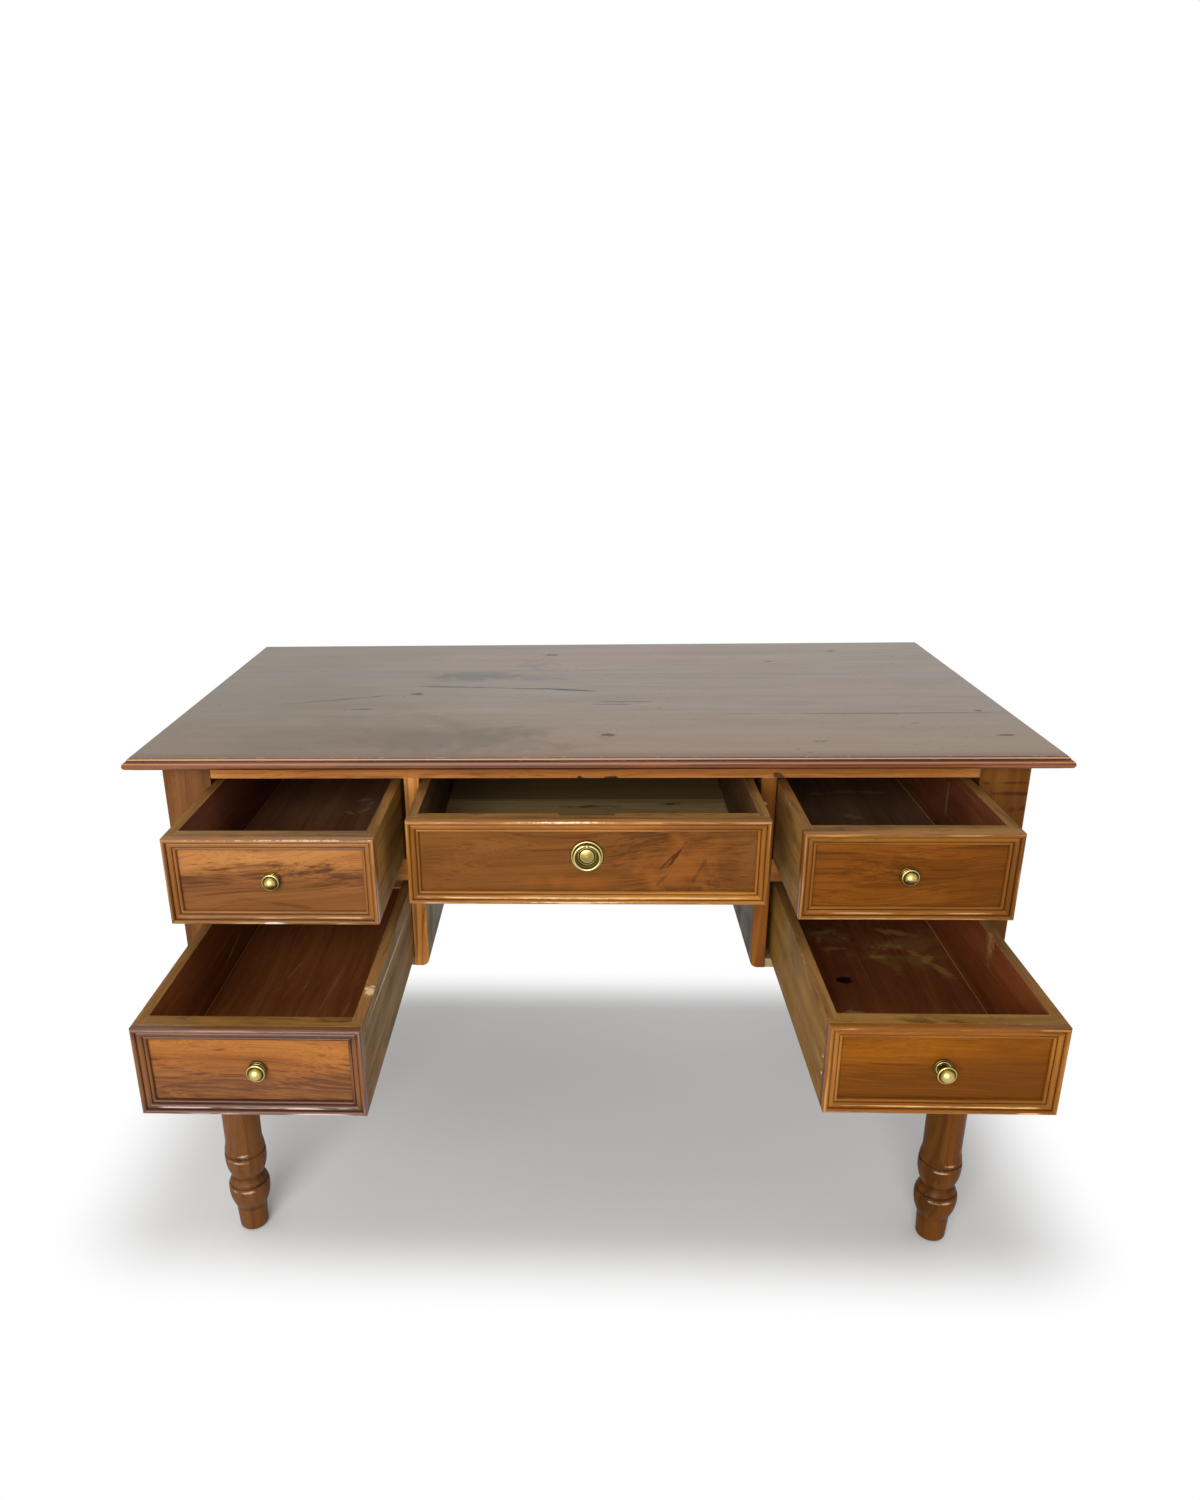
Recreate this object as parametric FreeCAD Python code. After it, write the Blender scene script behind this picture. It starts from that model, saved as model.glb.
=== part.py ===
"""Writing desk with a moulded top, turned legs, two hanging pedestals and five drawers.

Millimetres. +X is to the sitter's right, +Y goes to the back, +Z is up. The origin is on the floor,
in the middle of the box that the desk fills with its drawers standing open.
"""
import FreeCAD, Part
import math
import os

from FreeCAD import Vector

# Overall sizes
TOP_WIDTH = 1180.0
TOP_DEPTH = 664.0
DESK_HEIGHT = 786.0
TOP_THICKNESS = 18.0
TOP_OVERHANG = 36.0

# Boards of the top, counted from the front edge
FRONT_BOARD_WIDTH = 202.0
MIDDLE_BOARD_WIDTH = 261.0
BOARD_GAP = 0.4

# Moulded edge of the top: a step, a small bead, a quirk and a large nosing that is cut away below
EDGE_REACH = 8.0
EDGE_STEP = 0.8
EDGE_BEAD_RADIUS = 3.0
EDGE_QUIRK = 0.7
NOSING_UNDERCUT = 3.2
UNDERCUT_REACH = 13.0

# Posts and turned legs
POST_SIZE = 63.0
POST_ARRIS = 4.0
POST_BELOW_PEDESTAL = 24.0
POMMEL_HEIGHT = 12.0
POMMEL_ROUND = 2.0
FOOT_TREAD_DIAMETER = 31.0
FOOT_LOW_DIAMETER = 42.6
FOOT_ROUND_HEIGHT = 6.0
FOOT_TOP_DIAMETER = 46.0
FOOT_HEIGHT = 42.0
BULB_DIAMETER = 62.0
LOWER_BULB_BELOW = 33.0
LOWER_BULB_ABOVE = 21.0
UPPER_BULB_BELOW = 31.0
UPPER_BULB_ABOVE = 29.0
BULB_GROOVE = 4.4
BULB_GROOVE_RISE = 11.0
NECK_DIAMETER = 45.0
NECK_HEIGHT = 3.0
NECK_COVE_DEPTH = 0.8
SHAFT_LOW_DIAMETER = 54.6
SHAFT_HIGH_DIAMETER = 57.0
COLLAR_DIAMETER = 60.6
COLLAR_HEIGHT = 12.0

# Carcass boards and rails
FRONT_RAIL_HEIGHT = 20.0
FRONT_RAIL_DEPTH = 22.0
MIDDLE_RAIL_HEIGHT = 31.0
MIDDLE_RAIL_DEPTH = 40.0
RAIL_SETBACK = 1.5
TENON_LENGTH = 18.0
TENON_SHOULDER = 6.0
HOUSING_DEPTH = 6.0
PANEL_THICKNESS = 18.0
PANEL_INSET = 6.0
PANEL_TONGUE = 8.0
BACK_THICKNESS = 16.0
BACK_INSET = 6.0
UPPER_BACK_BOARD_HEIGHT = 150.0
CENTRE_OPENING = 438.0
PARTITION_THICKNESS = 20.0
PARTITION_CORNER = 10.0
PARTITION_ARRIS = 2.0
GLUE_BLOCK_LEG = 18.0
GLUE_BLOCK_LENGTH = 60.0
GLUE_BLOCK_SPACING = 260.0

# Runners and guides
RUNNER_BEARING = 22.0
GUIDE_HEIGHT = 20.0
LOWER_RUNNER_HEIGHT = 13.0
LOWER_RUNNER_SETBACK = 4.0
CENTRE_RUNNER_WIDTH = 18.0
CENTRE_RUNNER_HEIGHT = 24.0
RUNNING_GAP = 0.3
KICKER_GAP = 3.0

# Drawers
UPPER_DRAWER_HEIGHT = 107.0
LOWER_DRAWER_HEIGHT = 106.0
DRAWER_LENGTH = 560.0
GAP_OVER_UPPER_DRAWER = 6.0
GAP_OVER_LOWER_DRAWER = 10.0
SIDE_DRAWER_CLEARANCE = 3.8
CENTRE_DRAWER_CLEARANCE = 5.0
FRONT_THICKNESS = 19.0
FRONT_LAP = 8.0
SIDE_THICKNESS = 12.0
BACK_BOARD_THICKNESS = 11.0
BACK_DROP = 8.0
BOTTOM_THICKNESS = 7.0
BOTTOM_RISE = 5.0
BOTTOM_GROOVE = 5.0
BOTTOM_SLACK = 0.2
CENTRE_BOTTOM_JOINT = 326.0
LOCK_RECESS_WIDTH = 66.0
LOCK_RECESS_HEIGHT = 52.0
LOCK_RECESS_DEPTH = 7.0
BOLT_SLOT_WIDTH = 34.0
BOLT_SLOT_DEPTH = 8.0
BOLT_SLOT_HEIGHT = 10.0
BOLT_SLOT_SETBACK = 7.0

# How far each drawer stands open at rest
UPPER_LEFT_PULL = 192.0
LOWER_LEFT_PULL = 352.0
UPPER_RIGHT_PULL = 174.0
LOWER_RIGHT_PULL = 336.0
CENTRE_PULL = 136.0

# How far each drawer stands to the right of the middle of its opening, within its play
UPPER_LEFT_SHIFT = -1.6
LOWER_LEFT_SHIFT = 3.5
UPPER_RIGHT_SHIFT = -2.4
LOWER_RIGHT_SHIFT = 3.5
CENTRE_SHIFT = -3.4

# Reeded moulding round each drawer front, from its outer edge inwards
MOULDING_WIDTH = 15.0
OUTER_REED_WIDTH = 5.0
OUTER_REED_SPRING = 6.5
MIDDLE_REED_WIDTH = 6.2
MIDDLE_REED_HIGH_EDGE = 5.6
MIDDLE_REED_CROWN = 6.6
MIDDLE_REED_LOW_EDGE = 4.2
INNER_REED_SPRING = 2.7
INNER_REED_CROWN = 4.5

# Brass knobs
KNOB_PLATE_DIAMETER = 20.6
KNOB_PLATE_EDGE = 1.2
KNOB_PLATE_FLOOR = 1.6
KNOB_OUTER_RING_WIDTH = 2.0
KNOB_OUTER_RING_HEIGHT = 2.2
KNOB_INNER_RING_WIDTH = 1.8
KNOB_INNER_RING_HEIGHT = 3.0
KNOB_NECK_DIAMETER = 9.0
KNOB_WAIST_DIAMETER = 7.4
KNOB_NECK_LENGTH = 3.8
LOOSE_KNOB_NECK_LENGTH = 10.0
KNOB_HEAD_DIAMETER = 20.8
KNOB_FLARE_LENGTH = 2.8
KNOB_RIM_WIDTH = 1.5
KNOB_DOME_DIAMETER = 17.0
KNOB_DOME_RISE = 6.0
KNOB_DOME_GROOVE = 0.8
LOWER_LEFT_KNOB_ASIDE = 7.0
SPIGOT_DIAMETER = 6.0
SPIGOT_LENGTH = 14.0
SPIGOT_CLEARANCE = 0.1

# Ring pull of the centre drawer
RING_PULL_RISE = 7.0
ROSETTE_DIAMETER = 39.0
ROSETTE_EDGE = 1.3
ROSETTE_RIM_WIDTH = 3.2
ROSETTE_RIM_HEIGHT = 3.0
ROSETTE_FLOOR = 1.5
ROSETTE_OUTER_RING_DIAMETER = 29.2
ROSETTE_INNER_RING_DIAMETER = 22.4
ROSETTE_RING_WIDTH = 1.8
ROSETTE_RING_HEIGHT = 2.6
BOSS_DIAMETER = 16.6
BOSS_SIDE_HEIGHT = 2.8
BOSS_HEIGHT = 4.2
RING_POST_RISE = 14.1
RING_AXIS_REACH = 6.2
RING_POST_DIAMETER = 3.2
RING_POST_CLEARANCE = 0.05
RING_BALL_RADIUS = 2.7
RING_MEAN_RADIUS = 15.4
RING_WIRE_RADIUS = 1.2
RING_END_GAP = 0.4
RING_PIN_RADIUS = 0.9
RING_PIN_CLEARANCE = 0.05
RING_PIN_DEPTH = 1.8

# Heights worked out from the top down
TOP_UNDER = DESK_HEIGHT - TOP_THICKNESS
RAIL_BOTTOM = TOP_UNDER - FRONT_RAIL_HEIGHT
UPPER_DRAWER_BOTTOM = RAIL_BOTTOM - GAP_OVER_UPPER_DRAWER - UPPER_DRAWER_HEIGHT
UPPER_RUNNER_TOP = UPPER_DRAWER_BOTTOM - RUNNING_GAP
MIDDLE_RAIL_BOTTOM = UPPER_RUNNER_TOP - MIDDLE_RAIL_HEIGHT
LOWER_DRAWER_TOP = MIDDLE_RAIL_BOTTOM - GAP_OVER_LOWER_DRAWER
LOWER_DRAWER_BOTTOM = LOWER_DRAWER_TOP - LOWER_DRAWER_HEIGHT
LOWER_RUNNER_TOP = LOWER_DRAWER_BOTTOM - RUNNING_GAP
PEDESTAL_BOTTOM = LOWER_RUNNER_TOP - LOWER_RUNNER_HEIGHT
POST_END = PEDESTAL_BOTTOM - POST_BELOW_PEDESTAL

# Places across the desk, measured from its middle
CARCASS_HALF = TOP_WIDTH / 2 - TOP_OVERHANG
POST_INNER = CARCASS_HALF - POST_SIZE
PANEL_OUTER = CARCASS_HALF - PANEL_INSET
PANEL_INNER = PANEL_OUTER - PANEL_THICKNESS
PARTITION_INNER = CENTRE_OPENING / 2
PARTITION_OUTER = PARTITION_INNER + PARTITION_THICKNESS
PEDESTAL_MIDDLE = (PARTITION_OUTER + POST_INNER) / 2
SIDE_DRAWER_WIDTH = POST_INNER - PARTITION_OUTER - 2 * SIDE_DRAWER_CLEARANCE
CENTRE_DRAWER_WIDTH = CENTRE_OPENING - 2 * CENTRE_DRAWER_CLEARANCE

# Places from front to back, with the middle of the open desk at zero
OUTER_REED_PROUD = OUTER_REED_SPRING + OUTER_REED_WIDTH / 2
KNOB_LENGTH = (KNOB_PLATE_FLOOR + KNOB_NECK_LENGTH + KNOB_FLARE_LENGTH + KNOB_RIM_WIDTH
               + KNOB_DOME_RISE)
KNOB_REACH = KNOB_LENGTH - OUTER_REED_PROUD
LONGEST_PULL = max(UPPER_LEFT_PULL, LOWER_LEFT_PULL, UPPER_RIGHT_PULL, LOWER_RIGHT_PULL)
CARCASS_DEPTH = TOP_DEPTH - 2 * TOP_OVERHANG
CARCASS_FRONT = (LONGEST_PULL + KNOB_REACH - CARCASS_DEPTH - TOP_OVERHANG) / 2
CARCASS_BACK = CARCASS_FRONT + CARCASS_DEPTH
TOP_FRONT = CARCASS_FRONT - TOP_OVERHANG
TOP_MIDDLE = TOP_FRONT + TOP_DEPTH / 2
BACK_FACE = CARCASS_BACK - BACK_INSET
BACK_INNER = BACK_FACE - BACK_THICKNESS

# Sides of the desk: name and sign of X
SIDES = (("left", -1), ("right", 1))


def box(x_low, x_high, y_low, y_high, z_low, z_high):
    """A block between two corners, given in either order along X."""
    x_low, x_high = sorted((x_low, x_high))
    return Part.makeBox(x_high - x_low, y_high - y_low, z_high - z_low, Vector(x_low, y_low, z_low))


def line(start, end):
    """A straight edge."""
    return Part.LineSegment(start, end).toShape()


def arc(start, middle, end):
    """A round edge through three points."""
    return Part.Arc(start, middle, end).toShape()


def face_of(edges):
    """The flat face inside a closed run of edges."""
    return Part.Face(Part.Wire(edges))


def turned(edges, centre, axis):
    """The solid that a profile makes when it turns once round an axis."""
    return face_of(edges).revolve(centre, axis, 360)


def write(name, *solids):
    """Write one node, as a single solid or as a group of solids."""
    shape = solids[0] if len(solids) == 1 else Part.makeCompound(list(solids))
    if not shape.isValid():
        raise ValueError(name + " is not a valid shape")
    shape.exportStep("parts/" + name + ".step")


def moulded_slab(half_span, place, direction):
    """A slab with the top's moulded edge on two opposite sides.

    place turns a distance from the middle and a height into a point, and direction is the run of the slab.
    """
    flat = half_span - EDGE_REACH
    bead = flat + EDGE_BEAD_RADIUS
    bead_top = DESK_HEIGHT - EDGE_STEP
    bead_low = bead_top - EDGE_BEAD_RADIUS
    nosing_top = bead_low - EDGE_QUIRK
    nosing_low = TOP_UNDER + NOSING_UNDERCUT
    under = half_span - UNDERCUT_REACH
    bow = EDGE_BEAD_RADIUS * math.sqrt(0.5)
    edges = []
    for side in (1, -1):
        def at(span, height):
            return place(side * span, height)
        edges += [
            line(at(flat, DESK_HEIGHT), at(flat, bead_top)),
            arc(at(flat, bead_top), at(flat + bow, bead_low + bow), at(bead, bead_low)),
            line(at(bead, bead_low), at(bead - EDGE_QUIRK, bead_low - EDGE_QUIRK / 2)),
            line(at(bead - EDGE_QUIRK, bead_low - EDGE_QUIRK / 2), at(bead, nosing_top)),
            arc(at(bead, nosing_top), at(half_span, (nosing_top + nosing_low) / 2), at(bead, nosing_low)),
            line(at(bead, nosing_low), at(under, TOP_UNDER)),
        ]
    edges.append(line(place(flat, DESK_HEIGHT), place(-flat, DESK_HEIGHT)))
    edges.append(line(place(under, TOP_UNDER), place(-under, TOP_UNDER)))
    return Part.Face(Part.Wire(Part.__sortEdges__(edges))).extrude(direction)


def top_boards():
    """The top, mitred at its corners, sawn into its three boards."""
    along = moulded_slab(TOP_WIDTH / 2, lambda span, height: Vector(span, TOP_FRONT, height),
                         Vector(0, TOP_DEPTH, 0))
    across = moulded_slab(TOP_DEPTH / 2,
                          lambda span, height: Vector(-TOP_WIDTH / 2, TOP_MIDDLE + span, height),
                          Vector(TOP_WIDTH, 0, 0))
    whole = along.common(across)
    first_joint = TOP_FRONT + FRONT_BOARD_WIDTH
    second_joint = first_joint + MIDDLE_BOARD_WIDTH
    cuts = (("top_board_front", TOP_FRONT, first_joint - BOARD_GAP / 2),
            ("top_board_middle", first_joint + BOARD_GAP / 2, second_joint - BOARD_GAP / 2),
            ("top_board_back", second_joint + BOARD_GAP / 2, TOP_FRONT + TOP_DEPTH))
    for name, front, back in cuts:
        board = whole.common(box(-TOP_WIDTH / 2, TOP_WIDTH / 2, front, back, TOP_UNDER, DESK_HEIGHT))
        write(name, board.Solids[0])


def swell_circle(narrow, wide):
    """Distance of the centre from the axis, and radius, of a round edge that is upright where it is wide."""
    spread = wide.x - narrow.x
    radius = (spread ** 2 + (wide.z - narrow.z) ** 2) / (2 * spread)
    return wide.x - radius, radius


def swelling(start, end):
    """A round edge between a narrow point and a wide one, given in either order."""
    narrow, wide = sorted((start, end), key=lambda point: point.x)
    centre, radius = swell_circle(narrow, wide)
    half_turn = math.atan2(abs(wide.z - narrow.z), narrow.x - centre) / 2
    drop = math.copysign(radius * math.sin(half_turn), narrow.z - wide.z)
    return arc(start, Vector(centre + radius * math.cos(half_turn), 0, wide.z + drop), end)


def scribed_groove(wide, narrow):
    """The half-round ring that is cut out of a bulb above its widest part."""
    centre, radius = swell_circle(narrow, wide)
    reach = centre + math.sqrt(radius ** 2 - BULB_GROOVE_RISE ** 2)
    return Part.makeTorus(reach, BULB_GROOVE / 2, Vector(0, 0, wide.z + BULB_GROOVE_RISE))


def turned_leg():
    """The turned part of a leg round the Z axis: foot, two bulbs with a groove each, shaft and collar."""
    tread = FOOT_TREAD_DIAMETER / 2
    foot_low = FOOT_LOW_DIAMETER / 2
    neck = NECK_DIAMETER / 2 + NECK_COVE_DEPTH
    shaft_high = SHAFT_HIGH_DIAMETER / 2
    lower_wide = FOOT_HEIGHT + LOWER_BULB_BELOW
    neck_low = lower_wide + LOWER_BULB_ABOVE
    neck_high = neck_low + NECK_HEIGHT
    upper_wide = neck_high + UPPER_BULB_BELOW
    collar_low = POST_END - COLLAR_HEIGHT
    corner = 1 - math.sqrt(0.5)
    heel = Vector(foot_low - (foot_low - tread) * corner, 0, FOOT_ROUND_HEIGHT * corner)
    foot_top = Vector(FOOT_TOP_DIAMETER / 2, 0, FOOT_HEIGHT)
    lower_bulb = Vector(BULB_DIAMETER / 2, 0, lower_wide)
    neck_start = Vector(neck, 0, neck_low)
    neck_end = Vector(neck, 0, neck_high)
    upper_bulb = Vector(BULB_DIAMETER / 2, 0, upper_wide)
    shaft_start = Vector(SHAFT_LOW_DIAMETER / 2, 0, upper_wide + UPPER_BULB_ABOVE)
    edges = [
        line(Vector(0, 0, 0), Vector(tread, 0, 0)),
        arc(Vector(tread, 0, 0), heel, Vector(foot_low, 0, FOOT_ROUND_HEIGHT)),
        line(Vector(foot_low, 0, FOOT_ROUND_HEIGHT), foot_top),
        swelling(foot_top, lower_bulb),
        swelling(lower_bulb, neck_start),
        arc(neck_start, Vector(neck - NECK_COVE_DEPTH, 0, (neck_low + neck_high) / 2), neck_end),
        swelling(neck_end, upper_bulb),
        swelling(upper_bulb, shaft_start),
        line(shaft_start, Vector(shaft_high, 0, collar_low)),
        arc(Vector(shaft_high, 0, collar_low),
            Vector(COLLAR_DIAMETER / 2, 0, collar_low + COLLAR_HEIGHT / 2),
            Vector(shaft_high, 0, POST_END)),
        line(Vector(shaft_high, 0, POST_END), Vector(0, 0, POST_END)),
        line(Vector(0, 0, POST_END), Vector(0, 0, 0)),
    ]
    leg = turned(edges, Vector(0, 0, 0), Vector(0, 0, 1))
    return leg.cut(scribed_groove(lower_bulb, neck_start)).cut(scribed_groove(upper_bulb, shaft_start))


def post(outer_x, outer_y):
    """The square part of a leg round the Z axis, with a rounded outer corner and a turned-off lower end."""
    half = POST_SIZE / 2
    block = box(-half, half, -half, half, POST_END, TOP_UNDER)
    corner = [edge for edge in block.Edges
              if abs(edge.CenterOfMass.x - outer_x * half) < 0.01
              and abs(edge.CenterOfMass.y - outer_y * half) < 0.01]
    block = block.makeFillet(POST_ARRIS, corner)
    low_radius = half + POMMEL_ROUND
    high_radius = low_radius + POMMEL_HEIGHT
    envelope = Part.makeCone(low_radius, high_radius, POMMEL_HEIGHT, Vector(0, 0, POST_END))
    upper = box(-half, half, -half, half, POST_END + POMMEL_HEIGHT, TOP_UNDER)
    return block.common(envelope.fuse(upper))


def rail_tenon(sign, low, high, depth):
    """The tenon by which a rail of the front enters a post."""
    front = CARCASS_FRONT + RAIL_SETBACK
    return box(sign * POST_INNER, sign * (POST_INNER + TENON_LENGTH),
               front + TENON_SHOULDER, front + depth - TENON_SHOULDER, low + TENON_SHOULDER / 2, high)


def front_rail_tenon(sign):
    """Tenon of the rail under the top."""
    return rail_tenon(sign, RAIL_BOTTOM, TOP_UNDER, FRONT_RAIL_DEPTH)


def middle_rail_tenon(sign):
    """Tenon of the rail between the two drawers of a pedestal."""
    return rail_tenon(sign, MIDDLE_RAIL_BOTTOM, UPPER_RUNNER_TOP - TENON_SHOULDER / 2, MIDDLE_RAIL_DEPTH)


def middle_rail_housing(sign):
    """The end of a middle rail that sits in its partition."""
    front = CARCASS_FRONT + RAIL_SETBACK
    return box(sign * (PARTITION_OUTER - HOUSING_DEPTH), sign * PARTITION_OUTER,
               front + TENON_SHOULDER, front + MIDDLE_RAIL_DEPTH, MIDDLE_RAIL_BOTTOM, UPPER_RUNNER_TOP)


def end_panel(sign):
    """A board between the front and the rear post, with its ends in their grooves."""
    return box(sign * PANEL_INNER, sign * PANEL_OUTER, CARCASS_FRONT + POST_SIZE - PANEL_TONGUE,
               CARCASS_BACK - POST_SIZE + PANEL_TONGUE, PEDESTAL_BOTTOM, TOP_UNDER)


def back_board(low, high):
    """A board between the rear posts, with its ends in their grooves."""
    half = POST_INNER + PANEL_TONGUE
    return box(-half, half, BACK_INNER, BACK_FACE, low, high)


def legs():
    """Four legs, cut out for the tenons and boards that they take."""
    turning = turned_leg()
    whole_back = back_board(PEDESTAL_BOTTOM, TOP_UNDER)
    axis_x = CARCASS_HALF - POST_SIZE / 2
    rows = (("front", -1, CARCASS_FRONT + POST_SIZE / 2), ("rear", 1, CARCASS_BACK - POST_SIZE / 2))
    for row, outer_y, axis_y in rows:
        for side, sign in SIDES:
            leg = post(sign, outer_y).fuse(turning)
            leg.translate(Vector(sign * axis_x, axis_y, 0))
            leg = leg.cut(end_panel(sign))
            if row == "front":
                leg = leg.cut(front_rail_tenon(sign)).cut(middle_rail_tenon(sign))
            else:
                leg = leg.cut(whole_back)
            write(row + "_" + side + "_leg", leg.removeSplitter().Solids[0])


def front_rail_body():
    """The rail under the top between the two front posts."""
    front = CARCASS_FRONT + RAIL_SETBACK
    return box(-POST_INNER, POST_INNER, front, front + FRONT_RAIL_DEPTH, RAIL_BOTTOM, TOP_UNDER)


def partition(sign):
    """A hanging partition: notched for the front rail, housed for the middle rail, rounded at its foot."""
    front = CARCASS_FRONT + RAIL_SETBACK
    board = box(sign * PARTITION_INNER, sign * PARTITION_OUTER, front, BACK_INNER, PEDESTAL_BOTTOM, TOP_UNDER)
    foot = [edge for edge in board.Edges
            if abs(edge.CenterOfMass.x - sign * PARTITION_INNER) < 0.01
            and abs(edge.CenterOfMass.z - PEDESTAL_BOTTOM) < 0.01]
    board = board.makeFillet(PARTITION_CORNER, foot)
    arrises = [edge for edge in board.Edges
               if abs(edge.CenterOfMass.y - front) < 0.01 and edge.CenterOfMass.z < RAIL_BOTTOM
               and abs(edge.tangentAt(edge.FirstParameter).z) > 0.99]
    board = board.makeFillet(PARTITION_ARRIS, arrises)
    return board.cut(front_rail_body()).cut(middle_rail_housing(sign))


def carcass_boards():
    """Rails, end panels, partitions and back boards."""
    rail = front_rail_body()
    for side, sign in SIDES:
        rail = rail.fuse(front_rail_tenon(sign))
    slot_front = CARCASS_FRONT + RAIL_SETBACK + BOLT_SLOT_SETBACK
    bolt_slot = box(-BOLT_SLOT_WIDTH / 2, BOLT_SLOT_WIDTH / 2, slot_front, slot_front + BOLT_SLOT_DEPTH,
                    RAIL_BOTTOM, RAIL_BOTTOM + BOLT_SLOT_HEIGHT)
    write("front_rail", rail.cut(bolt_slot).removeSplitter())
    for side, sign in SIDES:
        write(side + "_end_panel", end_panel(sign))
        write(side + "_partition", partition(sign).removeSplitter())
        front = CARCASS_FRONT + RAIL_SETBACK
        middle = box(sign * PARTITION_OUTER, sign * POST_INNER, front, front + MIDDLE_RAIL_DEPTH,
                     MIDDLE_RAIL_BOTTOM, UPPER_RUNNER_TOP)
        middle = middle.fuse(middle_rail_tenon(sign)).fuse(middle_rail_housing(sign))
        write(side + "_middle_rail", middle.removeSplitter())
    joint = TOP_UNDER - UPPER_BACK_BOARD_HEIGHT
    write("back_board_upper", back_board(joint + BOARD_GAP / 2, TOP_UNDER))
    write("back_board_lower", back_board(PEDESTAL_BOTTOM, joint - BOARD_GAP / 2))


def pedestal_runners(sign, low, top, front):
    """Runner on the partition, runner at the posts and its guide along the end panel."""
    inner = box(sign * PARTITION_OUTER, sign * (PARTITION_OUTER + RUNNER_BEARING), front, BACK_INNER,
                low, top)
    outer = box(sign * (POST_INNER - RUNNER_BEARING), sign * POST_INNER, front, BACK_INNER, low, top)
    guide = box(sign * POST_INNER, sign * PANEL_INNER, CARCASS_FRONT + POST_SIZE, CARCASS_BACK - POST_SIZE,
                low, top + GUIDE_HEIGHT)
    return inner, outer, guide


def runners():
    """All that the drawers slide on."""
    behind_rail = CARCASS_FRONT + RAIL_SETBACK + MIDDLE_RAIL_DEPTH
    low_front = CARCASS_FRONT + LOWER_RUNNER_SETBACK
    for side, sign in SIDES:
        write(side + "_upper_runners",
              *pedestal_runners(sign, LOWER_DRAWER_TOP + KICKER_GAP, UPPER_RUNNER_TOP, behind_rail))
        write(side + "_lower_runners",
              *pedestal_runners(sign, PEDESTAL_BOTTOM, LOWER_RUNNER_TOP, low_front))
    centre = [box(sign * (PARTITION_INNER - CENTRE_RUNNER_WIDTH), sign * PARTITION_INNER, low_front,
                  BACK_INNER, UPPER_RUNNER_TOP - CENTRE_RUNNER_HEIGHT, UPPER_RUNNER_TOP)
              for side, sign in SIDES]
    write("centre_runners", *centre)


def glue_block(corner, inward, run):
    """A three-sided block in the corner under the top: its corner, its way in and its run."""
    down = Vector(0, 0, -GLUE_BLOCK_LEG)
    start = corner - run * 0.5
    points = [start, start + inward * GLUE_BLOCK_LEG, start + down, start]
    return Part.Face(Part.makePolygon(points)).extrude(run)


def glue_blocks():
    """Blocks that hold the top to the end panels and the back board."""
    blocks = []
    middle_y = (CARCASS_FRONT + CARCASS_BACK) / 2
    along_y = Vector(0, GLUE_BLOCK_LENGTH, 0)
    along_x = Vector(GLUE_BLOCK_LENGTH, 0, 0)
    for side, sign in SIDES:
        for step in (-0.5, 0.5):
            corner = Vector(sign * PANEL_INNER, middle_y + step * GLUE_BLOCK_SPACING, TOP_UNDER)
            blocks.append(glue_block(corner, Vector(-sign, 0, 0), along_y))
    for step in (-1, 0, 1):
        corner = Vector(step * (PARTITION_OUTER + POST_INNER) / 2, BACK_INNER, TOP_UNDER)
        blocks.append(glue_block(corner, Vector(0, -1, 0), along_x))
    write("glue_blocks", *blocks)


def moulding_strip(length):
    """One strip of reeded moulding along X, outer edge at Z 0, back on Y 0, mitred at both ends."""
    half = length / 2
    inner_start = OUTER_REED_WIDTH + MIDDLE_REED_WIDTH

    def at(across, proud):
        return Vector(-half, -proud, across)
    edges = [
        line(at(0, 0), at(0, OUTER_REED_SPRING)),
        arc(at(0, OUTER_REED_SPRING), at(OUTER_REED_WIDTH / 2, OUTER_REED_PROUD),
            at(OUTER_REED_WIDTH, OUTER_REED_SPRING)),
        line(at(OUTER_REED_WIDTH, OUTER_REED_SPRING), at(OUTER_REED_WIDTH, MIDDLE_REED_HIGH_EDGE)),
        arc(at(OUTER_REED_WIDTH, MIDDLE_REED_HIGH_EDGE),
            at(OUTER_REED_WIDTH + MIDDLE_REED_WIDTH / 2, MIDDLE_REED_CROWN),
            at(inner_start, MIDDLE_REED_LOW_EDGE)),
        line(at(inner_start, MIDDLE_REED_LOW_EDGE), at(inner_start, INNER_REED_SPRING)),
        arc(at(inner_start, INNER_REED_SPRING), at((inner_start + MOULDING_WIDTH) / 2, INNER_REED_CROWN),
            at(MOULDING_WIDTH, INNER_REED_SPRING)),
        line(at(MOULDING_WIDTH, INNER_REED_SPRING), at(MOULDING_WIDTH, 0)),
        line(at(MOULDING_WIDTH, 0), at(0, 0)),
    ]
    strip = face_of(edges).extrude(Vector(length, 0, 0))
    deep = max(OUTER_REED_PROUD, MIDDLE_REED_CROWN, INNER_REED_CROWN)
    mitre = Part.Face(Part.makePolygon([
        Vector(-half, 0, 0), Vector(half, 0, 0), Vector(half - MOULDING_WIDTH, 0, MOULDING_WIDTH),
        Vector(-half + MOULDING_WIDTH, 0, MOULDING_WIDTH), Vector(-half, 0, 0)])).extrude(Vector(0, -deep, 0))
    return strip.common(mitre)


def front_moulding(x_middle, face_y, width, bottom, height):
    """Four mitred strips round a drawer front whose face lies at face_y."""
    middle = Vector(x_middle, face_y, bottom + height / 2)
    strips = []
    for turn, length, reach in ((0, width, height), (90, height, width), (180, width, height),
                                (270, height, width)):
        strip = moulding_strip(length)
        strip.translate(Vector(0, 0, -reach / 2))
        strip.rotate(Vector(0, 0, 0), Vector(0, 1, 0), turn)
        strip.translate(middle)
        strips.append(strip)
    return strips


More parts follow.
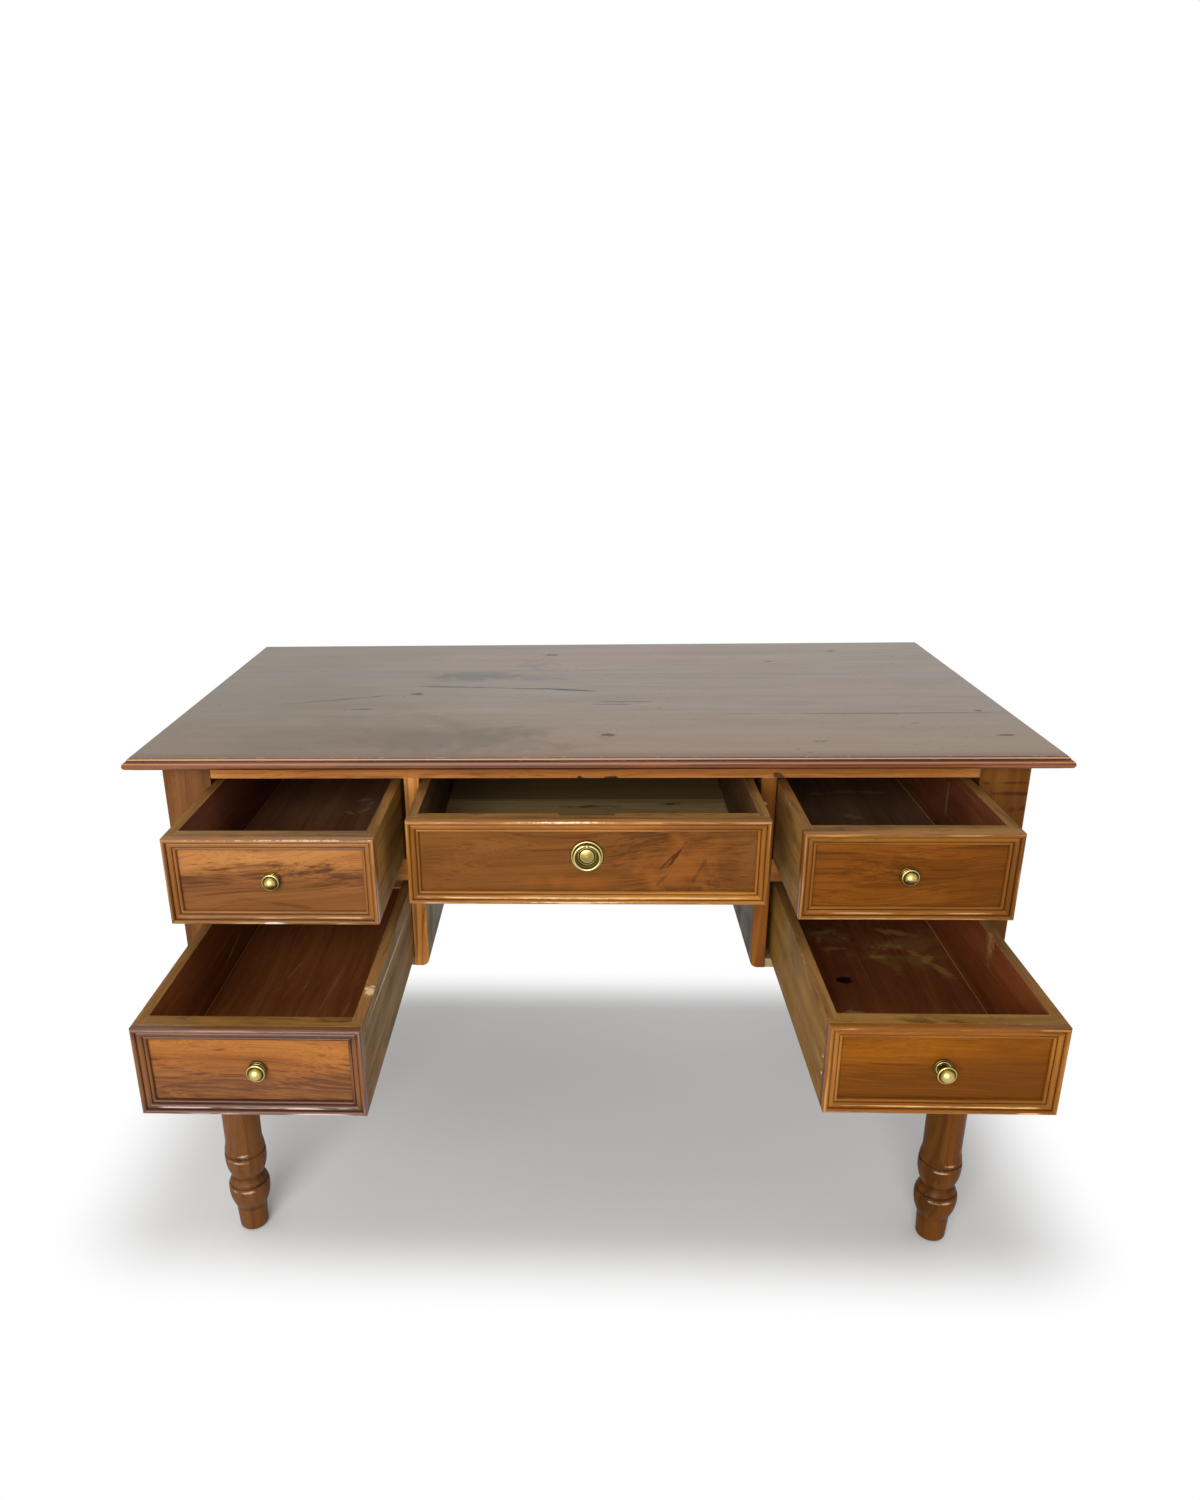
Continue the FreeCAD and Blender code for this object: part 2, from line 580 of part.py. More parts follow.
def drawer(name, x_middle, width, bottom, height, pull, handle, bottom_joint=None, lock=False):
    """One drawer, open by pull: rebated front, moulding, sides, back and a bottom held in grooves.

    handle is the place of its handle on the panel.
    """
    half = width / 2
    left = x_middle - half
    right = x_middle + half
    top = bottom + height
    show_face = CARCASS_FRONT - pull
    face = show_face + OUTER_REED_PROUD
    front_back = face + FRONT_THICKNESS
    side_start = face + FRONT_LAP
    end = show_face + DRAWER_LENGTH
    groove_low = bottom + BOTTOM_RISE
    groove_high = groove_low + BOTTOM_THICKNESS
    groove_in = SIDE_THICKNESS - BOTTOM_GROOVE
    slot = box(left + groove_in, right - groove_in, front_back - BOTTOM_GROOVE, end, groove_low, groove_high)

    front = box(left, right, face, front_back, bottom, top)
    spigot = Part.makeCylinder(SPIGOT_DIAMETER / 2 + SPIGOT_CLEARANCE, SPIGOT_LENGTH + SPIGOT_CLEARANCE,
                               handle, Vector(0, 1, 0))
    front = front.cut(slot).cut(spigot)
    if lock:
        front = front.cut(box(x_middle - LOCK_RECESS_WIDTH / 2, x_middle + LOCK_RECESS_WIDTH / 2,
                              front_back - LOCK_RECESS_DEPTH, front_back, top - LOCK_RECESS_HEIGHT, top))
    for side, board_left in (("left", left), ("right", right - SIDE_THICKNESS)):
        board = box(board_left, board_left + SIDE_THICKNESS, side_start, end, bottom, top)
        front = front.cut(board)
        write(name + "_side_" + side, board.cut(slot))
    write(name + "_front", front)
    write(name + "_moulding", *front_moulding(x_middle, face, width, bottom, height))
    write(name + "_back", box(left + SIDE_THICKNESS, right - SIDE_THICKNESS, end - BACK_BOARD_THICKNESS, end,
                              groove_high, top - BACK_DROP))
    ends = [front_back - BOTTOM_GROOVE + BOTTOM_SLACK, end]
    if bottom_joint:
        ends[1:1] = [show_face + bottom_joint - BOARD_GAP / 2, show_face + bottom_joint + BOARD_GAP / 2]
    panels = [box(left + groove_in + BOTTOM_SLACK, right - groove_in - BOTTOM_SLACK, start, stop,
                  groove_low, groove_high)
              for start, stop in zip(ends[0::2], ends[1::2])]
    write(name + "_bottom", *panels)


def handle_place(x_middle, bottom, height, pull, rise=0.0):
    """Where a handle sits on the panel of a drawer front."""
    return Vector(x_middle, CARCASS_FRONT - pull + OUTER_REED_PROUD, bottom + height / 2 + rise)


def turned_handle(points_and_arcs, place):
    """A turned brass piece on a drawer front, from a profile of radius and reach."""
    edges = []
    for step in points_and_arcs:
        points = [Vector(radius, -reach, 0) for radius, reach in step]
        edges.append(line(*points) if len(points) == 2 else arc(*points))
    piece = turned(edges, Vector(0, 0, 0), Vector(0, 1, 0))
    piece.translate(place)
    return piece


def spigot_profile(start_radius):
    """Profile of the round spigot behind a handle, from the axis to the handle's seat."""
    radius = SPIGOT_DIAMETER / 2
    return [((0, -SPIGOT_LENGTH), (radius, -SPIGOT_LENGTH)), ((radius, -SPIGOT_LENGTH), (radius, 0)),
            ((radius, 0), (start_radius, 0))]


def cap_middle(radius, low, high):
    """A point halfway along a round cap that springs from radius at low and crowns on the axis at high."""
    rise = high - low
    sphere = (radius ** 2 + rise ** 2) / (2 * rise)
    half_turn = math.atan2(radius, sphere - rise) / 2
    return sphere * math.sin(half_turn), high - sphere * (1 - math.cos(half_turn))


def knob(place, neck_length):
    """A brass knob: backplate with two rings, waisted neck and a mushroom head with a rim round a dome."""
    plate = KNOB_PLATE_DIAMETER / 2
    between_rings = plate - KNOB_OUTER_RING_WIDTH
    inside_rings = between_rings - KNOB_INNER_RING_WIDTH
    neck = KNOB_NECK_DIAMETER / 2
    head = KNOB_HEAD_DIAMETER / 2
    dome = KNOB_DOME_DIAMETER / 2
    floor = KNOB_PLATE_FLOOR
    neck_end = floor + neck_length
    rim_back = neck_end + KNOB_FLARE_LENGTH
    rim_front = rim_back + KNOB_RIM_WIDTH
    dome_back = rim_front - KNOB_DOME_GROOVE
    crown = rim_front + KNOB_DOME_RISE
    bow = math.sqrt(0.5)
    profile = spigot_profile(plate) + [
        ((plate, 0), (plate, KNOB_PLATE_EDGE)),
        ((plate, KNOB_PLATE_EDGE), ((plate + between_rings) / 2, KNOB_OUTER_RING_HEIGHT),
         (between_rings, floor)),
        ((between_rings, floor), ((between_rings + inside_rings) / 2, KNOB_INNER_RING_HEIGHT),
         (inside_rings, floor)),
        ((inside_rings, floor), (neck, floor)),
        ((neck, floor), (KNOB_WAIST_DIAMETER / 2, floor + neck_length / 2), (neck, neck_end)),
        ((neck, neck_end), (neck + (head - neck) * bow, neck_end + KNOB_FLARE_LENGTH * (1 - bow)),
         (head, rim_back)),
        ((head, rim_back), (head - KNOB_RIM_WIDTH * (1 - bow), rim_back + KNOB_RIM_WIDTH * bow),
         (head - KNOB_RIM_WIDTH, rim_front)),
        ((head - KNOB_RIM_WIDTH, rim_front), (dome, dome_back)),
        ((dome, dome_back), cap_middle(dome, dome_back, crown), (0, crown)),
        ((0, crown), (0, -SPIGOT_LENGTH)),
    ]
    return turned_handle(profile, place)


def rosette(place):
    """The round plate of the ring pull: raised rim, two fine rings on a flat floor and a domed boss."""
    rim = ROSETTE_DIAMETER / 2
    rim_in = rim - ROSETTE_RIM_WIDTH
    boss = BOSS_DIAMETER / 2
    floor = ROSETTE_FLOOR
    profile = spigot_profile(rim) + [
        ((rim, 0), (rim, ROSETTE_EDGE)),
        ((rim, ROSETTE_EDGE), ((rim + rim_in) / 2, ROSETTE_RIM_HEIGHT), (rim_in, floor)),
    ]
    last = rim_in
    for diameter in (ROSETTE_OUTER_RING_DIAMETER, ROSETTE_INNER_RING_DIAMETER):
        out = diameter / 2
        inner = out - ROSETTE_RING_WIDTH
        profile += [((last, floor), (out, floor)),
                    ((out, floor), ((out + inner) / 2, ROSETTE_RING_HEIGHT), (inner, floor))]
        last = inner
    profile += [
        ((last, floor), (boss, floor)),
        ((boss, floor), (boss, BOSS_SIDE_HEIGHT)),
        ((boss, BOSS_SIDE_HEIGHT), cap_middle(boss, BOSS_SIDE_HEIGHT, BOSS_HEIGHT), (0, BOSS_HEIGHT)),
        ((0, BOSS_HEIGHT), (0, -SPIGOT_LENGTH)),
    ]
    hole = Part.makeCylinder(RING_POST_DIAMETER / 2 + RING_POST_CLEARANCE, RING_AXIS_REACH,
                             place + Vector(0, 0, RING_POST_RISE), Vector(0, -1, 0))
    return turned_handle(profile, place).cut(hole)


def ring_axis(place):
    """The middle of the cross bore in which the ring's pins turn."""
    return place + Vector(0, -RING_AXIS_REACH, RING_POST_RISE)


def ring_post(place):
    """The ball-headed post that is riveted through the rosette and carries the ring."""
    centre = ring_axis(place)
    stem = Part.makeCylinder(RING_POST_DIAMETER / 2, RING_AXIS_REACH,
                             centre + Vector(0, RING_AXIS_REACH, 0), Vector(0, -1, 0))
    ball = Part.makeSphere(RING_BALL_RADIUS, centre)
    bore = Part.makeCylinder(RING_PIN_RADIUS + RING_PIN_CLEARANCE, 2 * RING_BALL_RADIUS,
                             centre - Vector(RING_BALL_RADIUS, 0, 0), Vector(1, 0, 0))
    return stem.fuse(ball).cut(bore)


def ring(place):
    """The hanging ring: a round wire, open at the top, with a pin at each end."""
    centre = ring_axis(place)
    end_x = RING_BALL_RADIUS + RING_END_GAP + RING_WIRE_RADIUS
    drop = math.sqrt(RING_MEAN_RADIUS ** 2 - end_x ** 2)
    opening = math.degrees(math.asin(end_x / RING_MEAN_RADIUS))
    wire = Part.Circle(Vector(0, 0, RING_MEAN_RADIUS), Vector(1, 0, 0), RING_WIRE_RADIUS).toShape()
    hoop = face_of([wire]).revolve(Vector(0, 0, 0), Vector(0, 1, 0), 360 - 2 * opening)
    hoop.rotate(Vector(0, 0, 0), Vector(0, 1, 0), opening)
    hoop.translate(centre - Vector(0, 0, drop))
    for side, sign in SIDES:
        end = centre + Vector(sign * end_x, 0, 0)
        pin = Part.makeCylinder(RING_PIN_RADIUS, end_x - RING_BALL_RADIUS + RING_PIN_DEPTH, end,
                                Vector(-sign, 0, 0))
        hoop = hoop.fuse(Part.makeSphere(RING_WIRE_RADIUS, end)).fuse(pin)
    return hoop


def pedestal_drawers():
    """The four side drawers with their knobs."""
    left = -PEDESTAL_MIDDLE
    right = PEDESTAL_MIDDLE
    upper = (UPPER_DRAWER_BOTTOM, UPPER_DRAWER_HEIGHT)
    lower = (LOWER_DRAWER_BOTTOM, LOWER_DRAWER_HEIGHT)
    tight = KNOB_NECK_LENGTH
    loose = LOOSE_KNOB_NECK_LENGTH
    aside = LOWER_LEFT_KNOB_ASIDE
    rows = (("upper_left_drawer", left + UPPER_LEFT_SHIFT, 0, *upper, UPPER_LEFT_PULL, tight),
            ("lower_left_drawer", left + LOWER_LEFT_SHIFT, aside, *lower, LOWER_LEFT_PULL, tight),
            ("upper_right_drawer", right + UPPER_RIGHT_SHIFT, 0, *upper, UPPER_RIGHT_PULL, tight),
            ("lower_right_drawer", right + LOWER_RIGHT_SHIFT, 0, *lower, LOWER_RIGHT_PULL, loose))
    for name, x_middle, knob_aside, bottom, height, pull, neck_length in rows:
        place = handle_place(x_middle + knob_aside, bottom, height, pull)
        drawer(name, x_middle, SIDE_DRAWER_WIDTH, bottom, height, pull, place)
        write(name + "_knob", knob(place, neck_length))


def centre_drawer():
    """The wide drawer over the kneehole with its ring pull and the empty seat of a lock."""
    place = handle_place(CENTRE_SHIFT, UPPER_DRAWER_BOTTOM, UPPER_DRAWER_HEIGHT, CENTRE_PULL, RING_PULL_RISE)
    drawer("centre_drawer", CENTRE_SHIFT, CENTRE_DRAWER_WIDTH, UPPER_DRAWER_BOTTOM, UPPER_DRAWER_HEIGHT,
           CENTRE_PULL, place, CENTRE_BOTTOM_JOINT, True)
    write("pull_rosette", rosette(place))
    write("pull_post", ring_post(place).Solids[0])
    write("pull_ring", ring(place).Solids[0])


def main():
    """Build every piece of the desk."""
    os.makedirs("parts", exist_ok=True)
    top_boards()
    legs()
    carcass_boards()
    runners()
    glue_blocks()
    pedestal_drawers()
    centre_drawer()


main()
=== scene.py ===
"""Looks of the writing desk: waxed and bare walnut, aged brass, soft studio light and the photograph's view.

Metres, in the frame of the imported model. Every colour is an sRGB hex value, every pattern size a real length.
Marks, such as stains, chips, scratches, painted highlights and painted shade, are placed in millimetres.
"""

import math

import bmesh
import bpy
from mathutils import Matrix, Vector


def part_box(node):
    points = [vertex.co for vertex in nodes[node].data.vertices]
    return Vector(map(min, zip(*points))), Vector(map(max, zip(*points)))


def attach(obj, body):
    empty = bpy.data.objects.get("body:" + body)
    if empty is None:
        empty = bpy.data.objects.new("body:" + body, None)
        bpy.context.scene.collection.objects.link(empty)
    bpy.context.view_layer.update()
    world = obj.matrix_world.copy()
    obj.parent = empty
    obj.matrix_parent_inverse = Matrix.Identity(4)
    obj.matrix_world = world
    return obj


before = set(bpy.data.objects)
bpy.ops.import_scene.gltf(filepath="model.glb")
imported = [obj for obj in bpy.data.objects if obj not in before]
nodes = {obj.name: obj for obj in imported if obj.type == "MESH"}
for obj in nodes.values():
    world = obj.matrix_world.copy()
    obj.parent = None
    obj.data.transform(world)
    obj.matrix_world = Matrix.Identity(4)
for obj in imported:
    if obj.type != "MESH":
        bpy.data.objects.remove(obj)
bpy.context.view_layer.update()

MM = 0.001
DRAWERS = ("upper_left_drawer", "lower_left_drawer", "centre_drawer", "upper_right_drawer",
           "lower_right_drawer")

# Camera as fitted to the photograph's edges: back and aside from the top's front edge, height from the floor
CAMERA_BACK = 1272.05 * MM
CAMERA_SIDE = -11.40 * MM
CAMERA_HEIGHT = 1205.62 * MM
CAMERA_YAW = -0.04761
CAMERA_PITCH = 0.36623
CAMERA_ROLL = 0.01731
CAMERA_LENS = 25.992
CAMERA_SHIFT_X = 0.04533
CAMERA_SHIFT_Y = 0.04067

# Half of a mark's reach in millimetres: through a piece, near one face of a board, and beyond the desk
DEEP = 60
THIN = 5
ANYWHERE = 2000

# Dirt and painted shade in the turned grooves and necks of the legs as tone, strength, height and half height,
# in millimetres
LEG_HOLLOWS = (("#1c0d06", 0.85, 86, 6), ("#1c0d06", 0.85, 141, 6), ("#2a1408", 0.6, 97, 8),
               ("#2a1408", 0.5, 44, 7))
# Painted glints on the front of the legs as distance aside, height and half length, in millimetres
LEG_GLINTS = ((-6, 135, 16), (4, 80, 14), (-14, 80, 7), (6, 147, 10))

# Drawer mouldings, inward from the outer edge: the outer reed's worn crest, and the lower strip's reeds that
# carry painted glints
CREST_PLACE = 1.6 * MM
CREST_HALF = 2.2 * MM
GLINT_REEDS = (2.2 * MM, 8.0 * MM)
GLINT_HALF = 1.6 * MM
# Where the painted glints fade out above the lower strip, and where they fade in beside its corners
LOWER_STRIP = (17 * MM, 15 * MM)
GLINT_ENDS = (14 * MM, 24 * MM)

# Centre drawer's bottom in millimetres: its joint, back from the moulding's face, and half of its rear board
CENTRE_BOTTOM_JOINT = 326
CENTRE_REAR_HALF = 150

# Rosette of the ring pull: radii of its grooves and of its dull boss, and how far in the boss turns dull
ROSETTE_GROOVES = (16.0 * MM, 12.9 * MM, 9.3 * MM)
BOSS_RADIUS = 8.3 * MM
BOSS_FADE = 2 * MM

# Nail heads, up and back from the lower front corner of the side that they hold
NAIL_HEIGHTS = (58 * MM, 37 * MM)
NAIL_INSET = 4 * MM
NAIL_RADIUS = 2.3 * MM
NAIL_THICKNESS = 1.2 * MM
NAIL_ROUNDING = 0.3 * MM

# The floor, in metres, is paper within the desk's shadow, a rounded box, and fades to plain white around it
FLOOR_RADIUS = 30.0
SHADOW_MIDDLE = (-0.015, 0.21, 0)
SHADOW_HALF = (0.615, 0.31, 0)
SHADOW_SPREAD = (0.8, 1, 0)
SHADOW_FADE = 0.18
PAPER_TONES = (0.8, 0.82)
# Strength of the white surroundings as light, and where they are seen or mirrored
WORLD_LIGHT = 0.45
WORLD_SEEN = 1.0


def linear(code):
    """An sRGB hex colour as linear red, green, blue and alpha."""
    levels = [int(code[start:start + 2], 16) / 255 for start in (1, 3, 5)]
    return [level / 12.92 if level <= 0.04045 else ((level + 0.055) / 1.055) ** 2.4
            for level in levels] + [1.0]


def add(tree, kind, inputs=None, **settings):
    """Add a node with its own settings, and with values or links on its inputs."""
    node = tree.nodes.new("ShaderNode" + kind)
    for key, value in settings.items():
        setattr(node, key, value)
    for key, value in (inputs or {}).items():
        if isinstance(value, bpy.types.NodeSocket):
            tree.links.new(value, node.inputs[key])
        else:
            node.inputs[key].default_value = value
    return node


def worked(tree, operation, first, second=0.0):
    """The result of an operation on one or two numbers."""
    return add(tree, "Math", {0: first, 1: second}, operation=operation).outputs[0]


def vectored(tree, operation, first, second=(0, 0, 0)):
    """The vector that an operation on one or two vectors gives."""
    return add(tree, "VectorMath", {0: first, 1: second}, operation=operation).outputs[0]


def length_of(tree, vector):
    """The length of a vector."""
    return add(tree, "VectorMath", {0: vector}, operation="LENGTH").outputs["Value"]


def ramp(tree, amount, low, high, start=0.0, end=1.0, smooth=False):
    """An amount's way from low to high, as a number from start to end."""
    return add(tree, "MapRange", {0: amount, 1: low, 2: high, 3: start, 4: end},
               interpolation_type="SMOOTHSTEP" if smooth else "LINEAR").outputs[0]


def here(tree):
    """The place of a point, in metres."""
    return add(tree, "TexCoord").outputs["Object"]


def along(tree, axis):
    """The place of a point on one axis, in metres."""
    return add(tree, "SeparateXYZ", {0: here(tree)}).outputs[axis]


def turned_to(tree, axis):
    """How far a surface faces along one axis, from -1 to 1."""
    normal = add(tree, "NewGeometry").outputs["Normal"]
    return add(tree, "SeparateXYZ", {0: normal}).outputs[axis]


def mixed(tree, share, under, over):
    """Two colours mixed by a share. Each is a hex value or the output of a node."""
    under, over = [linear(colour) if isinstance(colour, str) else colour for colour in (under, over)]
    return add(tree, "Mix", {0: share, 6: under, 7: over}, data_type="RGBA").outputs[2]


def stained(tree, under, over, amount, low=0.0, high=1.0, strength=1.0):
    """The colour under, with the colour over laid on it as an amount goes from low to high."""
    return mixed(tree, ramp(tree, amount, low, high, 0.0, strength, smooth=True), under, over)


def both(tree, first, second):
    """The product of two shares."""
    return worked(tree, "MULTIPLY", first, second)


def share_of(tree, axis, low, high):
    """How far a point lies from low to high along one axis, both in metres, from 0 to 1."""
    return ramp(tree, along(tree, axis), low, high)


def facing(tree, axis, sign):
    """1 where a surface faces along one axis, otherwise 0."""
    return ramp(tree, turned_to(tree, axis), 0.5 * sign, 0.8 * sign)


def away_from(tree, amount, middle):
    """How far an amount is from a middle value."""
    return worked(tree, "ABSOLUTE", worked(tree, "SUBTRACT", amount, middle))


def bump_of(tree, amount, middle, half):
    """1 at the middle of an amount's span and 0 at half a span to either side."""
    return ramp(tree, away_from(tree, amount, middle), half, 0.0, smooth=True)


def depth_in_span(tree, axis, low, high):
    """Distance of a point from the nearer end of a span along one axis, in metres."""
    off = away_from(tree, along(tree, axis), (low + high) / 2)
    return worked(tree, "SUBTRACT", (high - low) / 2, off)


def from_axis(tree, centre):
    """Distance of a point from a line along Y through a centre, in metres."""
    off = vectored(tree, "SUBTRACT", here(tree), tuple(centre))
    return length_of(tree, vectored(tree, "MULTIPLY", off, (1.0, 0.0, 1.0)))


def along_grain(tree, grain, tilt=0.0):
    """Object coordinates turned so that X runs along the grain, which may rise by a tilt in radians."""
    turn = {"X": (0, tilt, 0), "Y": (0, 0, math.pi / 2), "Z": (0, math.pi / 2, 0)}[grain]
    return add(tree, "Mapping", {0: here(tree), 2: turn}).outputs[0]


def layer(tree, place, length, width, detail=3.0, distortion=0.0, shift=0.0):
    """A cloud whose patches are about so many millimetres long and wide along the grain."""
    scale = (1 / (length * MM), 1 / (width * MM), 1 / (width * MM))
    spread = add(tree, "Mapping", {0: place, 1: (shift, shift, shift), 3: scale}).outputs[0]
    return add(tree, "TexNoise", {"Vector": spread, "Scale": 1.0, "Detail": detail,
                                  "Distortion": distortion}).outputs[0]


def spot(tree, centre, half, turn=(0, 0, 0), ragged=0.0, soft=0.5):
    """1 inside an ellipsoid, given by its centre and half lengths in millimetres, fading to 0 at its rim."""
    place = here(tree)
    middle = [length * MM for length in centre]
    reach = [length * MM for length in half]
    inside = add(tree, "Mapping", {0: place, 1: middle, 2: turn, 3: reach}, vector_type="TEXTURE").outputs[0]
    far = length_of(tree, inside)
    if ragged:
        size = sorted(half)[1] * 0.7
        cloud = layer(tree, place, size, size, detail=4.0, distortion=0.6, shift=centre[0] * 0.37)
        far = worked(tree, "ADD", far, ramp(tree, cloud, 0.25, 0.75, -ragged, ragged))
    return ramp(tree, far, 1.0, 1.0 - soft)


def marked(tree, colour, marks):
    """Lay marks on a colour: each is a colour, a strength, a centre, half lengths and settings of spot."""
    for tone, strength, centre, half, settings in marks:
        colour = stained(tree, colour, tone, spot(tree, centre, half, **settings), strength=strength)
    return colour


def new_tree(material):
    """The empty node tree of a new material or world."""
    material.use_nodes = True
    material.node_tree.nodes.clear()
    return material.node_tree


def new_finish(name, constants):
    """A material with one shader: the material, its node tree and the shader."""
    material = bpy.data.materials.new(name)
    tree = new_tree(material)
    shader = add(tree, "BsdfPrincipled", constants)
    add(tree, "OutputMaterial", {0: shader.outputs[0]})
    return material, tree, shader


def wax(gloss, roughness, specular):
    """Shader constants of waxed wood: a thin coat over a surface that mirrors little."""
    return {"Coat Weight": gloss, "Coat Roughness": roughness, "IOR": 1.5, "Specular IOR Level": specular}


def join(tree, shader, colour, rough, normal=None):
    """Link a finish's colour, roughness and normal to its shader."""
    for socket, value in (("Base Color", colour), ("Roughness", rough), ("Normal", normal)):
        if value:
            tree.links.new(value, shader.inputs[socket])


def grained(tree, place, tones, streak, share=0.6, width=5.0, seed=0.0, more=None, sway_mm=7.0, figure=0.8):
    """Colour and relief of walnut: broad figure, long streaks that sway a little, fibres and pores.

    more is an amount that draws extra streaks where it is high, sway_mm how far the streaks leave a
    straight line, and figure how strongly the broad figure shows.
    """
    dark, middle, light = tones
    drift = layer(tree, place, 240, 60, detail=1.0, shift=seed)
    sway = ramp(tree, drift, 0.3, 0.7, -sway_mm * MM, sway_mm * MM)
    aside = add(tree, "CombineXYZ", {1: sway, 2: sway}).outputs[0]
    swayed = vectored(tree, "ADD", place, aside)
    zones = layer(tree, swayed, 560, 26, detail=2.0, distortion=0.2, shift=seed + 1.7)
    bands = layer(tree, swayed, 380, width, detail=2.0, distortion=0.15, shift=seed + 3.1)
    lines = layer(tree, swayed, 240, width * 0.32, detail=2.0, distortion=0.1, shift=seed + 4.4)
    fibres = layer(tree, swayed, 60, 1.1, detail=2.0, shift=seed + 5.3)
    pores = layer(tree, swayed, 8, 0.7, detail=1.0, shift=seed + 7.7)
    if more:
        extra = ramp(tree, more, 0.0, 1.0, -0.06, 0.1)
        bands = worked(tree, "ADD", bands, extra)
        lines = worked(tree, "ADD", lines, extra)
    colour = stained(tree, middle, light, zones, 0.48, 0.7, figure)
    colour = stained(tree, colour, dark, zones, 0.52, 0.3, figure)
    colour = stained(tree, colour, streak, bands, 0.5, 0.74, share)
    colour = stained(tree, colour, light, bands, 0.46, 0.28, 0.35)
    colour = stained(tree, colour, streak, lines, 0.5, 0.76, share * 0.8)
    colour = stained(tree, colour, dark, fibres, 0.5, 0.74, 0.35)
    colour = stained(tree, colour, "#1d1008", pores, 0.6, 0.78, 0.35)
    return colour, worked(tree, "SUBTRACT", fibres, pores)


def arris(tree, radius):
    """How near a surface is to one of its edges, and a normal that rounds those edges."""
    rounded = add(tree, "Bevel", {"Radius": radius * MM}, samples=6).outputs[0]
    flat = add(tree, "NewGeometry").outputs["Normal"]
    same = add(tree, "VectorMath", {0: rounded, 1: flat}, operation="DOT_PRODUCT").outputs["Value"]
    return worked(tree, "SUBTRACT", 1.0, same), rounded


def openness(tree, distance):
    """How open a surface is within a distance in metres: low in corners and hollows."""
    return add(tree, "AmbientOcclusion", {"Distance": distance}, samples=6).outputs["AO"]


def finish_wood(tree, shader, colour, relief, rough, worn, wear=0.5, bump=0.12, round_mm=1.2, dirt_and_shade=0.35,
                dirt_and_shade_mm=5.0):
    """Join a wood's colour and relief to its shader, with rubbed, chipped arrises, and dirt and painted shade
    in its corners and hollows.

    rough is the least and the most roughness, and worn the colour of the rubbed arrises.
    """
    place = along_grain(tree, "X")
    near_edge, rounded = arris(tree, round_mm)
    mottle = layer(tree, place, 30, 30, detail=4.0)
    colour = stained(tree, colour, worn, both(tree, near_edge, mottle), 0.02, 0.12, wear)
    chips = layer(tree, place, 9, 9, distortion=0.5, shift=6.1)
    chipped = both(tree, near_edge, ramp(tree, chips, 0.58, 0.64))
    colour = stained(tree, colour, "#dcc49c", chipped, 0.04, 0.1, wear)
    # Dirt and painted shade: darker where the surface is less open, in corners, quirks and hollows
    colour = stained(tree, colour, "#1a0e07", openness(tree, dirt_and_shade_mm * MM), 0.7, 0.2, dirt_and_shade)
    smear = layer(tree, place, 200, 50, distortion=0.6, shift=2.2)
    grain = add(tree, "Bump", {"Strength": bump, "Distance": 0.4 * MM, "Height": relief, "Normal": rounded})
    join(tree, shader, colour, ramp(tree, smear, 0.3, 0.7, *rough), grain.outputs[0])


def waxed_walnut(name, grain, tones, streak, gloss=0.1, marks=(), dirt_and_shade=0.35, **options):
    """Oiled and waxed walnut: warm brown with long streaks, a soft gloss and pale worn arrises."""
    material, tree, shader = new_finish(name, wax(gloss, 0.2, gloss))
    colour, relief = grained(tree, along_grain(tree, grain), tones, streak, **options)
    colour = marked(tree, colour, marks)
    finish_wood(tree, shader, colour, relief, (0.3, 0.45), "#b98a58", dirt_and_shade=dirt_and_shade)
    return material


def bare_walnut(name, grain, tones, streak):
    """Planed wood left without polish: dull olive brown with smudges from years of handling."""
    material, tree, shader = new_finish(name, {"IOR": 1.45, "Specular IOR Level": 0.1})
    place = along_grain(tree, grain)
    colour, relief = grained(tree, place, tones, streak)
    smudge = layer(tree, place, 120, 45, detail=4.0, distortion=0.9, shift=11.0)
    colour = stained(tree, colour, "#33261a", smudge, 0.55, 0.75, 0.5)
    finish_wood(tree, shader, colour, relief, (0.55, 0.8), "#a58c66", wear=0.4, bump=0.25)
    return material


def partition_walnut(side, edge_tones, raw_tones, marks):
    """Planed walnut partition: grey bare faces, a waxed orange brown front edge with pale worn arrises."""
    material, tree, shader = new_finish("planed_walnut_" + side + "_partition",
                                        {"IOR": 1.45, "Specular IOR Level": 0.1})
    place = along_grain(tree, "Z")
    raw, relief = grained(tree, place, raw_tones, "#4c463a", share=0.5, width=9.0, seed=2.0)
    edge = grained(tree, place, edge_tones, "#5c3414", width=6.0, seed=8.0)[0]
    edge = marked(tree, edge, marks)
    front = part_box(side + "_partition")[0].y
    on_edge = share_of(tree, 1, front + 2.6 * MM, front + 1.8 * MM)
    colour = mixed(tree, on_edge, raw, edge)
    finish_wood(tree, shader, colour, relief, (0.45, 0.7), "#cfa874", wear=0.6, bump=0.2)
    return material


